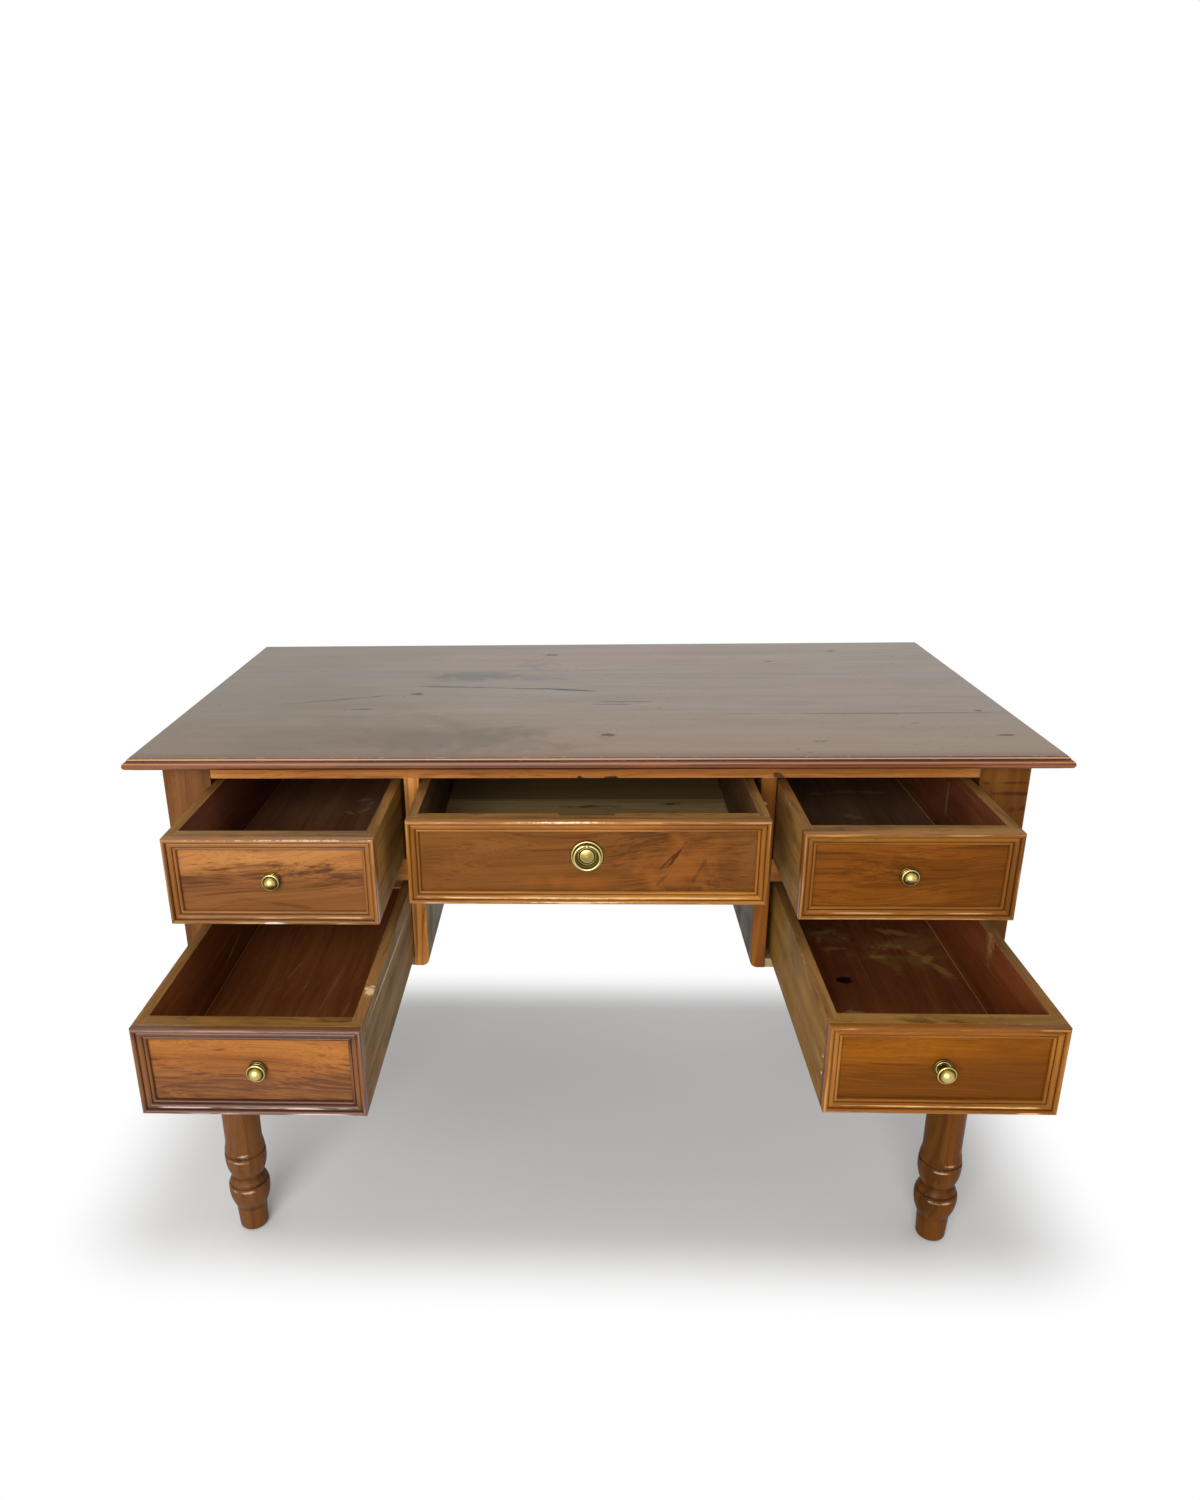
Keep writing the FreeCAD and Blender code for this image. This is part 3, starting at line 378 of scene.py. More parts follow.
def top_walnut(board, tones, seed, marks):
    """Oiled walnut of one board of the top: grey brown, partly a painted sheen in its base colour, under a thin
    satin coat, redder at its moulded edge.
    """
    material, tree, shader = new_finish("satin_oiled_walnut_" + board, wax(0.1, 0.26, 0.25))
    place = along_grain(tree, "X")
    colour, relief = grained(tree, place, tones, "#584a3c", share=0.2, seed=seed, figure=0.5)
    warm = share_of(tree, 1, 170 * MM, -170 * MM)
    colour = stained(tree, colour, "#866648", warm, strength=0.45)
    aside = share_of(tree, 0, 50 * MM, -550 * MM)
    colour = stained(tree, colour, "#584c38", aside, strength=0.4)
    colour = marked(tree, colour, marks)
    specks = layer(tree, place, 7, 4, detail=2.0, distortion=0.4, shift=seed + 21.0)
    colour = stained(tree, colour, "#241912", specks, 0.7, 0.74, 0.8)
    low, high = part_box(board)
    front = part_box("top_board_front")[0].y
    red = share_of(tree, 1, front + 34 * MM, front + 10 * MM)
    colour = stained(tree, colour, "#5c3420", red, strength=0.6)
    edge = grained(tree, place, ("#3f1d0e", "#6a3719", "#8a5128"), "#2c140a", seed=3.0)[0]
    rise = share_of(tree, 2, low.z, high.z)
    # Painted highlights on the bead and nosing, and painted shade in the quirks and under the moulded edge
    for tone, middle, half, strength in (("#c9a688", 0.89, 0.06, 0.7), ("#b57a4c", 0.64, 0.08, 0.65),
                                         ("#a9683c", 0.4, 0.08, 0.5), ("#1f0d07", 0.78, 0.05, 0.85),
                                         ("#2c140b", 0.975, 0.025, 0.8), ("#33180d", 0.1, 0.16, 0.7)):
        edge = stained(tree, edge, tone, bump_of(tree, rise, middle, half), 0.1, 0.9, strength)
    on_top = share_of(tree, 2, high.z - 0.9 * MM, high.z - 0.4 * MM)
    colour = mixed(tree, on_top, edge, colour)
    finish_wood(tree, shader, colour, relief, (0.38, 0.44), "#c79c6c", wear=0.4, bump=0.08, round_mm=0.8,
                dirt_and_shade=0.8, dirt_and_shade_mm=3.0)
    return material


def drawer_front(drawer, seed, tones, streak, share, gloss, thick_at, shade_tone, shade_share, sway_mm, tilt,
                 marks):
    """Waxed walnut of one drawer front, with its bare top edge and a dark stained back.

    thick_at is the axis, middle and half of the part where the streaks crowd, as shares of the front.
    """
    material, tree, shader = new_finish("waxed_walnut_" + drawer + "_front", wax(gloss, 0.22, gloss))
    low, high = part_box(drawer + "_front")
    place = along_grain(tree, "X", tilt)
    axis, middle, half = thick_at
    more = bump_of(tree, share_of(tree, axis, low[axis], high[axis]), middle, half)
    colour, relief = grained(tree, place, tones, streak, share=share, width=3.6, seed=seed, more=more,
                             sway_mm=sway_mm, figure=0.7)
    # Painted shade: the front darkens towards its bottom
    shade_below = share_of(tree, 2, high.z - 30 * MM, low.z + 25 * MM)
    colour = stained(tree, colour, shade_tone, shade_below, strength=shade_share)
    colour = marked(tree, colour, marks)
    back = grained(tree, place, ("#4a2410", "#6a3a1c", "#84502a"), "#34180a", width=6.0, seed=seed + 9.0)[0]
    colour = mixed(tree, facing(tree, 1, 1), colour, back)
    bare = grained(tree, place, ("#5a3c18", "#7c5626", "#906a34"), "#46300f", share=0.5, width=6.0,
                   seed=seed + 4.0)[0]
    smudge = layer(tree, place, 40, 14, detail=4.0, distortion=0.8, shift=seed + 13.0)
    bare = stained(tree, bare, "#33220f", smudge, 0.52, 0.7, 0.5)
    upper = share_of(tree, 2, high.z - 0.6 * MM, high.z - 0.2 * MM)
    colour = mixed(tree, upper, colour, bare)
    finish_wood(tree, shader, colour, relief, (0.3, 0.5), "#c9955c")
    return material


def drawer_moulding(drawer, seed, tones, streak, worn, wear, gloss, glint, marks=()):
    """Waxed walnut moulding: grain runs along each strip, and the outer reed's crest is rubbed pale.

    glint is the colour of the painted highlights on the lower strip's reeds.
    """
    material, tree, shader = new_finish("waxed_walnut_" + drawer + "_moulding", wax(gloss, 0.16, gloss))
    low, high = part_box(drawer + "_moulding")
    across = depth_in_span(tree, 0, low.x, high.x)
    upright = depth_in_span(tree, 2, low.z, high.z)
    on_stile = worked(tree, "LESS_THAN", across, upright)
    flat = along_grain(tree, "X")
    steep = along_grain(tree, "Z")
    place = add(tree, "Mix", {0: on_stile, 4: flat, 5: steep}, data_type="VECTOR").outputs[1]
    colour, relief = grained(tree, place, tones, streak, share=0.4, width=9.0, seed=seed)
    inward = worked(tree, "MINIMUM", across, upright)
    crest = bump_of(tree, inward, CREST_PLACE, CREST_HALF)
    mottle = layer(tree, place, 60, 4, detail=4.0, distortion=0.5, shift=seed + 2.0)
    mottle = ramp(tree, mottle, 0.42, 0.66)
    colour = stained(tree, colour, worn, both(tree, crest, mottle), 0.0, 0.8, wear)
    # Painted highlights on the lower strip's reeds, broken up by the mottle
    lower = share_of(tree, 2, low.z + LOWER_STRIP[0], low.z + LOWER_STRIP[1])
    clear = ramp(tree, across, *GLINT_ENDS)
    for reed in GLINT_REEDS:
        shine = both(tree, both(tree, lower, clear), bump_of(tree, inward, reed, GLINT_HALF))
        colour = stained(tree, colour, glint, both(tree, shine, mottle), 0.0, 0.7, 0.75)
    colour = marked(tree, colour, marks)
    finish_wood(tree, shader, colour, relief, (0.26, 0.4), worn, bump=0.08, round_mm=0.6, dirt_and_shade=0.9,
                dirt_and_shade_mm=3.0)
    return material


def drawer_board(name, grain, inside_axis, inside_sign, outside, inside, seed, marks=(), seam=None):
    """Drawer lining board: bare olive brown outside, stained red brown inside, rubbed bare on top.

    seam is the height at which dust lies along the joint with the bottom.
    """
    material, tree, shader = new_finish(name, {"IOR": 1.45, "Specular IOR Level": 0.08})
    place = along_grain(tree, grain)
    raw, relief = grained(tree, place, outside, "#40301a", share=0.35, width=8.0, seed=seed, figure=0.6)
    smudge = layer(tree, place, 160, 40, detail=4.0, distortion=0.9, shift=seed + 11.0)
    raw = stained(tree, raw, "#2c2012", smudge, 0.52, 0.72, 0.45)
    pale = layer(tree, place, 90, 30, detail=5.0, distortion=1.2, shift=seed + 15.0)
    raw = stained(tree, raw, "#a88a58", pale, 0.58, 0.72, 0.3)
    stain = grained(tree, place, inside, "#3a1a0b", share=0.25, width=6.0, seed=seed + 2.0, figure=0.4)[0]
    dust = layer(tree, place, 150, 1.6, distortion=0.3, shift=seed + 17.0)
    stain = stained(tree, stain, "#a07a50", dust, 0.58, 0.74, 0.4)
    if seam:
        joint = bump_of(tree, along(tree, 2), seam + 1.2 * MM, 2.4 * MM)
        stain = stained(tree, stain, "#c49c64", joint, 0.0, 0.5, 0.85)
    rim = grained(tree, place, ("#60401e", "#7f582c", "#936c3c"), "#4a3018", share=0.5, seed=seed + 6.0)[0]
    colour = mixed(tree, facing(tree, 2, 1), raw, rim)
    colour = mixed(tree, facing(tree, inside_axis, inside_sign), colour, stain)
    colour = marked(tree, colour, marks)
    finish_wood(tree, shader, colour, relief, (0.5, 0.75), "#a08560", wear=0.45, bump=0.2)
    return material


def aged_brass(name, panel, rosette_centre=None):
    """Cast and turned brass, long handled: pale gold crests, olive tarnish near the wood and in hollows, and a
    painted reflection that is pale on faces turned to the front and olive on faces turned aside.

    A rosette, given by its centre, also has dark grooves and a duller boss.
    """
    material, tree, shader = new_finish("aged_cast_brass_" + name, {"Metallic": 1.0})
    place = along_grain(tree, "X")
    near_edge, rounded = arris(tree, 0.3)
    cloud = layer(tree, place, 5, 5, detail=4.0, distortion=0.4)
    speck = layer(tree, place, 1.2, 1.2, detail=2.0)
    # Painted reflection: faces turned toward the front are pale gold, faces turned aside olive
    colour = stained(tree, "#6d5a1c", "#c2ae6a", turned_to(tree, 1), -0.35, -0.9)
    colour = stained(tree, colour, "#8a763a", cloud, 0.5, 0.72, 0.4)
    raised = share_of(tree, 1, panel - 2.3 * MM, panel - 2.9 * MM)
    low = worked(tree, "SUBTRACT", 1.0, raised)
    colour = stained(tree, colour, "#4a3c12", low, 0.2, 0.9, 0.85)
    proud = bump_of(tree, share_of(tree, 1, panel, panel - 10 * MM), 0.68, 0.14)
    colour = stained(tree, colour, "#e2d498", proud, 0.2, 0.9, 0.6)
    colour = stained(tree, colour, "#f4ebbc", near_edge, 0.02, 0.12, 0.75)
    if rosette_centre is not None:
        away = from_axis(tree, rosette_centre)
        boss = ramp(tree, away, BOSS_RADIUS, BOSS_RADIUS - BOSS_FADE)
        colour = stained(tree, colour, "#84723a", boss, strength=0.75)
        for radius in ROSETTE_GROOVES:
            groove = bump_of(tree, away, radius, 1.5 * MM)
            colour = stained(tree, colour, "#33280c", groove, 0.1, 0.7, 0.85)
    colour = stained(tree, colour, "#33280c", openness(tree, 3 * MM), 0.7, 0.2, 0.7)
    dents = add(tree, "Bump", {"Strength": 0.08, "Distance": 0.2 * MM, "Height": speck, "Normal": rounded})
    join(tree, shader, colour, ramp(tree, cloud, 0.3, 0.7, 0.3, 0.44), dents.outputs[0])
    return material


def dress(material, *names):
    """Give CAD nodes a finish."""
    for name in names:
        slots = nodes[name].data.materials
        slots.clear()
        slots.append(material)


def dress_top():
    """Finishes of the three boards of the top, with the marks of long use."""
    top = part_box("top_board_front")[1].z / MM
    front_marks = (
        ("#5c4c30", 0.7, (-330, -70, top), (330, 130, DEEP), {"ragged": 0.4, "soft": 0.9}),
        ("#4e3e26", 0.6, (-170, -90, top), (200, 70, DEEP), {"ragged": 0.6, "soft": 0.9}),
        ("#3c3020", 0.35, (-95, -62, top), (75, 30, DEEP), {"ragged": 0.7, "soft": 0.9}),
        ("#8a6a5a", 0.3, (60, -75, top), (120, 60, DEEP), {"ragged": 0.5, "soft": 0.9}),
        ("#140c08", 1.0, (24, -70, top), (11, 7, DEEP), {"ragged": 0.5}),
        ("#140c08", 1.0, (540, -76, top), (15, 5, DEEP), {"ragged": 0.3}),
        ("#2c2018", 0.8, (300, -100, top), (10, 4, DEEP), {"ragged": 0.7}),
        ("#2c2018", 0.8, (440, -20, top), (8, 4, DEEP), {"ragged": 0.7}),
        ("#2c2018", 0.9, (400, 30.4, top), (240, 3.6, DEEP), {"ragged": 0.4}),
    )
    middle_marks = (
        ("#907468", 0.4, (340, 150, top), (260, 110, DEEP), {"ragged": 0.5, "soft": 0.9}),
        ("#6a5c44", 0.7, (-430, 120, top), (260, 140, DEEP), {"ragged": 0.4, "soft": 0.9}),
        ("#0e0806", 1.0, (-258, 145, top), (12, 9, DEEP), {"ragged": 0.4}),
        ("#140c08", 0.9, (-185, 184, top), (80, 4, DEEP), {"turn": (0, 0, -0.1), "ragged": 0.6}),
        ("#140c08", 0.85, (-100, 175, top), (150, 3, DEEP), {"turn": (0, 0, -0.12), "ragged": 0.4}),
        ("#050302", 1.0, (-32, 166, top), (58, 5, DEEP), {"turn": (0, 0, -0.2), "ragged": 0.5}),
        ("#1c120c", 0.9, (49, 95, top), (46, 3, DEEP), {"ragged": 0.3}),
        ("#1c120c", 0.8, (41, 81, top), (38, 3, DEEP), {"ragged": 0.3}),
        ("#3a2c1e", 0.8, (-360, 118, top), (90, 4, DEEP), {"turn": (0, 0, 0.3), "ragged": 0.5}),
        ("#1c120c", 0.9, (543, 40, top), (8, 5, DEEP), {"ragged": 0.5}),
        ("#2c2018", 0.7, (-330, 60, top), (26, 4, DEEP), {"ragged": 0.7}),
        ("#4c5664", 0.5, (-75, 240, top), (46, 30, DEEP), {"ragged": 0.6, "soft": 0.8}),
        ("#3c332a", 0.5, (-188, 250, top), (80, 40, DEEP), {"ragged": 0.7, "soft": 0.8}),
    )
    back_marks = (
        ("#8a6a60", 0.4, (60, 380, top), (330, 90, DEEP), {"ragged": 0.5, "soft": 0.9}),
        ("#70634f", 0.6, (-430, 380, top), (240, 150, DEEP), {"ragged": 0.4, "soft": 0.9}),
        ("#1c140e", 0.9, (-60, 403, top), (16, 8, DEEP), {"ragged": 0.7}),
        ("#4a4644", 0.4, (-80, 330, top), (40, 40, DEEP), {"ragged": 0.7, "soft": 0.8}),
        ("#2c2018", 0.8, (302, 346, top), (8, 6, DEEP), {"ragged": 0.6}),
        ("#2c2018", 0.8, (420, 420, top), (8, 6, DEEP), {"ragged": 0.6}),
    )
    # The boards' grey brown tones are lightened by a painted sheen
    boards = (("top_board_front", ("#766655", "#827262", "#8c7c6c"), 0.0, front_marks),
              ("top_board_middle", ("#75685b", "#817467", "#8b7e71"), 6.0, middle_marks),
              ("top_board_back", ("#796b5d", "#857769", "#8f8173"), 12.0, back_marks))
    for board, tones, seed, marks in boards:
        dress(top_walnut(board, tones, seed, marks), board)


def leg_marks(leg):
    """Dirt and painted shade in the turned hollows of a leg, and painted glints on the front of its bulbs."""
    low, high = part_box(leg)
    x = (low.x + high.x) / 2 / MM
    y = (low.y + high.y) / 2 / MM
    marks = [(tone, strength, (x, y, z), (DEEP, DEEP, half), {"ragged": 0.5, "soft": 1.0})
             for tone, strength, z, half in LEG_HOLLOWS]
    marks += [("#c8ac92", 0.7, (x + aside, y - 30, z), (half, 16, 2.2), {"ragged": 0.6, "soft": 1.0})
              for aside, z, half in LEG_GLINTS]
    return marks


def dress_carcass():
    """Finishes of all else that doesn't move."""
    rail_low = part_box("front_rail")[0]
    rail_front = rail_low.y / MM
    rail_under = rail_low.z / MM
    legs = {"front_left_leg": (("#4a2b14", "#6a4222", "#7e5430"), "#361c0c"),
            "front_right_leg": (("#462709", "#653a10", "#784c1a"), "#331906"),
            "rear_left_leg": (("#4c2e16", "#694224", "#7e5632"), "#3a2010"),
            "rear_right_leg": (("#4c2e14", "#684020", "#7c542e"), "#381e0d")}
    post_streaks = [("#34100a", 0.7, (526, rail_front, 741), (44, DEEP, 2.6), {"ragged": 1.0, "soft": 1.0}),
                    ("#3a140c", 0.7, (540, rail_front, 727), (34, DEEP, 3), {"ragged": 1.0, "soft": 1.0}),
                    ("#3a140c", 0.6, (548, rail_front, 706), (20, DEEP, 5), {"ragged": 1.0, "soft": 1.0})]
    for index, (leg, (tones, streak)) in enumerate(legs.items()):
        marks = leg_marks(leg) + (post_streaks if leg == "front_right_leg" else [])
        dress(waxed_walnut("waxed_turned_walnut_" + leg, "Z", tones, streak, gloss=0.04, marks=marks,
                           dirt_and_shade=0.9, seed=index * 4.0, share=0.25, width=8.0), leg)
    rail_chips = (("#0c0704", 0.95, (-12, rail_front, rail_under), (5, DEEP, 4), {"ragged": 0.4}),
                  ("#0c0704", 0.95, (28, rail_front, rail_under), (12, DEEP, 4), {"ragged": 0.5}),
                  ("#2a1a10", 0.8, (240, rail_front, rail_under), (12, DEEP, 8), {"ragged": 0.4}))
    dress(waxed_walnut("waxed_walnut_front_rail", "X", ("#8a5424", "#b27038", "#c68848"), "#5e3412",
                       gloss=0.08, marks=rail_chips), "front_rail")
    dress(waxed_walnut("waxed_walnut_middle_rails", "X", ("#78481e", "#9a602e", "#ae763e"), "#52300f",
                       gloss=0.08, seed=3.0), "left_middle_rail", "right_middle_rail")
    dress(waxed_walnut("waxed_walnut_end_panels", "Y", ("#54331a", "#734928", "#8c623a"), "#40250f"),
          "left_end_panel", "right_end_panel")
    # The partitions are one wood: the left one's lighter tones are painted light, the right one's darker tones
    # painted shade
    dress(partition_walnut("left", ("#a2662a", "#c8843e", "#dc9c56"), ("#6c5d3f", "#80704d", "#8e7e5e"), ()),
          "left_partition")
    stile_chip = (("#d8bc90", 0.8, (222, rail_front, 712), (6, DEEP, 4), {"ragged": 0.4}),)
    dress(partition_walnut("right", ("#5e360e", "#784414", "#8c5822"), ("#3b3020", "#493d27", "#584a33"),
                           stile_chip), "right_partition")
    dress(bare_walnut("sawn_bare_walnut_back_boards", "X", ("#5d4830", "#765d40", "#8c7350"), "#4a3620"),
          "back_board_upper", "back_board_lower")
    dress(bare_walnut("planed_beech_runners", "Y", ("#7a6444", "#94805a", "#a8946e"), "#665236"),
          "left_upper_runners", "left_lower_runners", "right_upper_runners", "right_lower_runners",
          "centre_runners", "glue_blocks")


def front_looks():
    """What drawer_front needs for each drawer."""
    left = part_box("upper_left_drawer_front")[0].y / MM
    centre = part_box("centre_drawer_front")[0].y / MM
    upper_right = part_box("upper_right_drawer_front")[0].y / MM
    lower_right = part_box("lower_right_drawer_front")[0].y / MM
    waves = (
        ("#3a2012", 0.5, (-335, left, 697), (84, DEEP, 4),
         {"turn": (0, -0.14, 0), "ragged": 0.6, "soft": 1.0}),
        ("#3a2012", 0.5, (-357, left, 706), (30, DEEP, 3), {"ragged": 0.5, "soft": 1.0}),
        ("#4a2a16", 0.5, (-432, left, 688), (60, DEEP, 3.5),
         {"turn": (0, -0.13, 0), "ragged": 0.6, "soft": 1.0}),
        ("#4a2a16", 0.5, (-355, left, 657), (70, DEEP, 4),
         {"turn": (0, 0.15, 0), "ragged": 0.6, "soft": 1.0}),
    )
    flame = (
        ("#93561f", 0.5, (100, centre, 686), (64, DEEP, 44), {"ragged": 0.7, "soft": 1.0}),
        ("#2e1508", 0.8, (103, centre, 697), (20, DEEP, 2.4), {"turn": (0, -1.0, 0), "ragged": 0.6}),
        ("#3a1c0a", 0.7, (94, centre, 690), (15, DEEP, 1.8), {"turn": (0, -0.85, 0), "ragged": 0.6}),
        ("#42230c", 0.4, (124, centre, 664), (30, DEEP, 2.4), {"turn": (0, -1.1, 0), "ragged": 0.7}),
        ("#42230c", 0.4, (86, centre, 664), (16, DEEP, 2.0), {"turn": (0, -0.9, 0), "ragged": 0.7}),
        ("#8e4c16", 0.4, (-30, centre, 660), (90, DEEP, 14), {"ragged": 0.7, "soft": 1.0}),
        ("#84604a", 0.12, (190, centre, 690), (18, DEEP, 40), {"ragged": 0.4, "soft": 1.0}),
    )
    # Painted shade over the right part of the right drawers' fronts
    upper_shade = (("#5a3008", 0.5, (455, upper_right, 680), (90, DEEP, 90), {"ragged": 0.5, "soft": 1.0}),)
    lower_shade = (("#5c320a", 0.6, (450, lower_right, 540), (120, DEEP, 90), {"ragged": 0.5, "soft": 1.0}),)
    return {
        "upper_left_drawer": dict(
            tones=("#6c4122", "#966030", "#ae7640"), streak="#331b10", share=0.65, gloss=0.06,
            thick_at=(2, 0.5, 0.32), shade_tone="#5e381b", shade_share=0.6, sway_mm=14.0, tilt=0.08, marks=waves),
        "lower_left_drawer": dict(
            tones=("#643b19", "#8e5627", "#a0672f"), streak="#301912", share=0.75, gloss=0.06,
            thick_at=(2, 0.3, 0.4), shade_tone="#62402a", shade_share=0.5, sway_mm=11.0, tilt=-0.05, marks=()),
        "centre_drawer": dict(
            tones=("#4e2d0e", "#6b4018", "#7c4d20"), streak="#381c0a", share=0.6, gloss=0.04,
            thick_at=(0, 0.75, 0.3), shade_tone="#57310f", shade_share=0.3, sway_mm=11.0, tilt=0.05, marks=flame),
        "upper_right_drawer": dict(
            tones=("#5e340a", "#7c4511", "#8a5317"), streak="#40220a", share=0.55, gloss=0.03,
            thick_at=(2, 0.5, 0.9), shade_tone="#683a10", shade_share=0.4, sway_mm=9.0, tilt=0.03,
            marks=upper_shade),
        "lower_right_drawer": dict(
            tones=("#623506", "#80480d", "#905613"), streak="#42220a", share=0.55, gloss=0.03,
            thick_at=(2, 0.25, 0.5), shade_tone="#5e340c", shade_share=0.55, sway_mm=9.0, tilt=-0.03,
            marks=lower_shade),
    }


def moulding_looks():
    """What drawer_moulding needs for each drawer."""
    left_low, left_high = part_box("upper_left_drawer_moulding")
    left_y = left_low.y / MM
    # Pale chips along the upper left moulding's top strip, and a painted highlight on its lower strip
    left_chips_and_highlight = (("#d8c4a4", 0.5, (-330, left_y, left_high.z / MM - 1), (90, 5, 0.6), {"ragged": 1.1}),
                  ("#e6dccb", 0.85, (-367, left_y, left_low.z / MM + 2), (17, 8, 1.6), {"ragged": 0.5}))
    low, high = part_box("centre_drawer_moulding")
    y = low.y / MM
    # Painted highlights along the centre moulding's top arris and its lower reeds
    centre_shine = (("#e8d5b8", 0.8, (-30, y, high.z / MM - 1.2), (48, 6, 0.9), {"ragged": 0.7}),
                    ("#e0c8a2", 0.65, (-5, y, low.z / MM + 7), (86, 12, 0.8), {"ragged": 0.5}),
                    ("#e0c8a2", 0.6, (-10, y, low.z / MM + 3), (80, 12, 0.8), {"ragged": 0.5}))
    corner_low, corner_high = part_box("lower_left_drawer_moulding")
    middle = (corner_low.z + corner_high.z) / 2 / MM
    brown_stiles = [("#6e431f", 0.85, (x, corner_low.y / MM, middle), (12, 14, 52), {"soft": 0.4})
                    for x in (corner_low.x / MM + 7, corner_high.x / MM - 7)]
    return {
        "upper_left_drawer": dict(
            tones=("#643c18", "#835224", "#986634"), streak="#3c210c", worn="#b98a56", wear=0.45, gloss=0.12,
            glint="#c9a070", marks=left_chips_and_highlight),
        # The lower left moulding's lilac worn colour on its crests is partly wear and partly a painted
        # reflection
        "lower_left_drawer": dict(
            tones=("#381b0d", "#56311b", "#6e4628"), streak="#26120a", worn="#97766a", wear=0.5, gloss=0.2,
            glint="#cdbab4", marks=brown_stiles),
        "centre_drawer": dict(
            tones=("#704212", "#925a1e", "#a6702c"), streak="#4a290b", worn="#c89a5c", wear=0.45, gloss=0.1,
            glint="#dcb880", marks=centre_shine),
        "upper_right_drawer": dict(
            tones=("#5c340e", "#7c4a18", "#906024"), streak="#42240a", worn="#b98a54", wear=0.5, gloss=0.08,
            glint="#c89c68"),
        "lower_right_drawer": dict(
            tones=("#64390e", "#85501a", "#9a6628"), streak="#48290b", worn="#c2904e", wear=0.5, gloss=0.08,
            glint="#e2b674"),
    }


def strokes(tone, height, *places):
    """Worn strokes on a flat floor: each place is its X and Y, half length, half width and turn."""
    return [(tone, 0.5, (x, y, height), (half, width, DEEP),
             {"turn": (0, 0, turn), "ragged": 0.9, "soft": 1.0}) for x, y, half, width, turn in places]


def inside_marks():
    """Worn patches, scratches and stains inside the drawers, by node."""
    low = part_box("lower_right_drawer_bottom")[1].z / MM
    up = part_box("upper_right_drawer_bottom")[1].z / MM
    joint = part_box("centre_drawer_moulding")[0].y / MM + CENTRE_BOTTOM_JOINT
    wall_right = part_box("lower_right_drawer_side_right")[0].x / MM
    wall_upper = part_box("upper_right_drawer_side_right")[0].x / MM
    wall_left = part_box("lower_left_drawer_side_left")[1].x / MM
    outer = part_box("lower_left_drawer_side_right")[1]
    outer_x = outer.x / MM
    outer_z = outer.z / MM
    return {
        "lower_right_drawer_bottom": [
            ("#946f3e", 0.5, (424, -118, low), (56, 64, DEEP), {"ragged": 1.3, "soft": 1.0}),
            ("#946f3e", 0.45, (334, -98, low), (34, 40, DEEP), {"ragged": 1.2, "soft": 1.0}),
            *strokes("#b48c54", low, (326, -78, 20, 7, 0.4), (350, -92, 16, 7, -0.9), (334, -124, 22, 7, 0.1),
                     (316, -102, 20, 6, 1.4)),
            *strokes("#bc964e", low, (428, -76, 32, 9, -0.3), (404, -116, 26, 11, 0.3),
                     (428, -130, 24, 9, -0.8), (448, -152, 20, 8, 1.2), (456, -178, 28, 9, -1.1),
                     (388, -146, 22, 8, 0.2)),
            ("#060505", 0.95, (326, -209, low), (12, 10, DEEP), {"ragged": 0.25, "soft": 0.3}),
            ("#b39468", 0.5, (316, -290, low), (16, 9, DEEP), {"ragged": 1.0})],
        "lower_right_drawer_side_right": [
            ("#b8925e", 0.6, (wall_right, -268, 585), (THIN, 14, 30), {"ragged": 0.7, "soft": 0.8})],
        "upper_right_drawer_side_right": [
            ("#a8845a", 0.5, (wall_upper, -80, 698), (THIN, 6, 26), {"ragged": 0.5})],
        "upper_right_drawer_bottom": strokes(
            "#a08a64", up, (350, 86, 30, 6, 0.1), (410, 90, 36, 6, -0.05), (368, -8, 18, 8, -0.5)),
        "upper_left_drawer_bottom": strokes(
            "#a8a090", up, (-335, 58, 20, 6, 0.4), (-322, 20, 20, 5, 1.0), (-340, 2, 18, 5, -0.6),
            (-318, 48, 14, 5, 1.3)),
        "lower_left_drawer_bottom": strokes(
            "#9a7a4a", low, (-365, -235, 60, 2, 1.45), (-330, -240, 70, 2, 1.5), (-300, -270, 50, 2, 1.5),
            (-390, -200, 40, 2, 1.4)),
        "lower_left_drawer_side_left": [
            ("#c4a880", 0.6, (wall_left, -180, 527), (THIN, 42, 2.0), {"turn": (0.19, 0, 0), "ragged": 0.3})],
        "lower_left_drawer_side_right": [
            ("#d6c6a4", 0.85, (outer_x, -296, outer_z - 21), (THIN, 170, 2.4),
             {"turn": (-0.04, 0, 0), "ragged": 0.4}),
            ("#d8b98c", 0.8, (outer_x - 4, -404, outer_z), (8, 12, 4), {"ragged": 0.6})],
        "centre_drawer_bottom": [
            ("#7a5f3a", 0.7, (0, joint + CENTRE_REAR_HALF + 2, up), (ANYWHERE, CENTRE_REAR_HALF, ANYWHERE),
             {"soft": 0.03}),
            ("#b39c6c", 0.9, (0, joint, up), (230, 3, DEEP), {"ragged": 0.3}),
            ("#20170e", 0.7, (10, 30, up), (60, 7, DEEP), {"ragged": 0.8, "soft": 0.8}),
            ("#20170e", 0.8, (116, 40, up), (26, 7, DEEP), {"ragged": 0.8, "soft": 0.8})],
    }


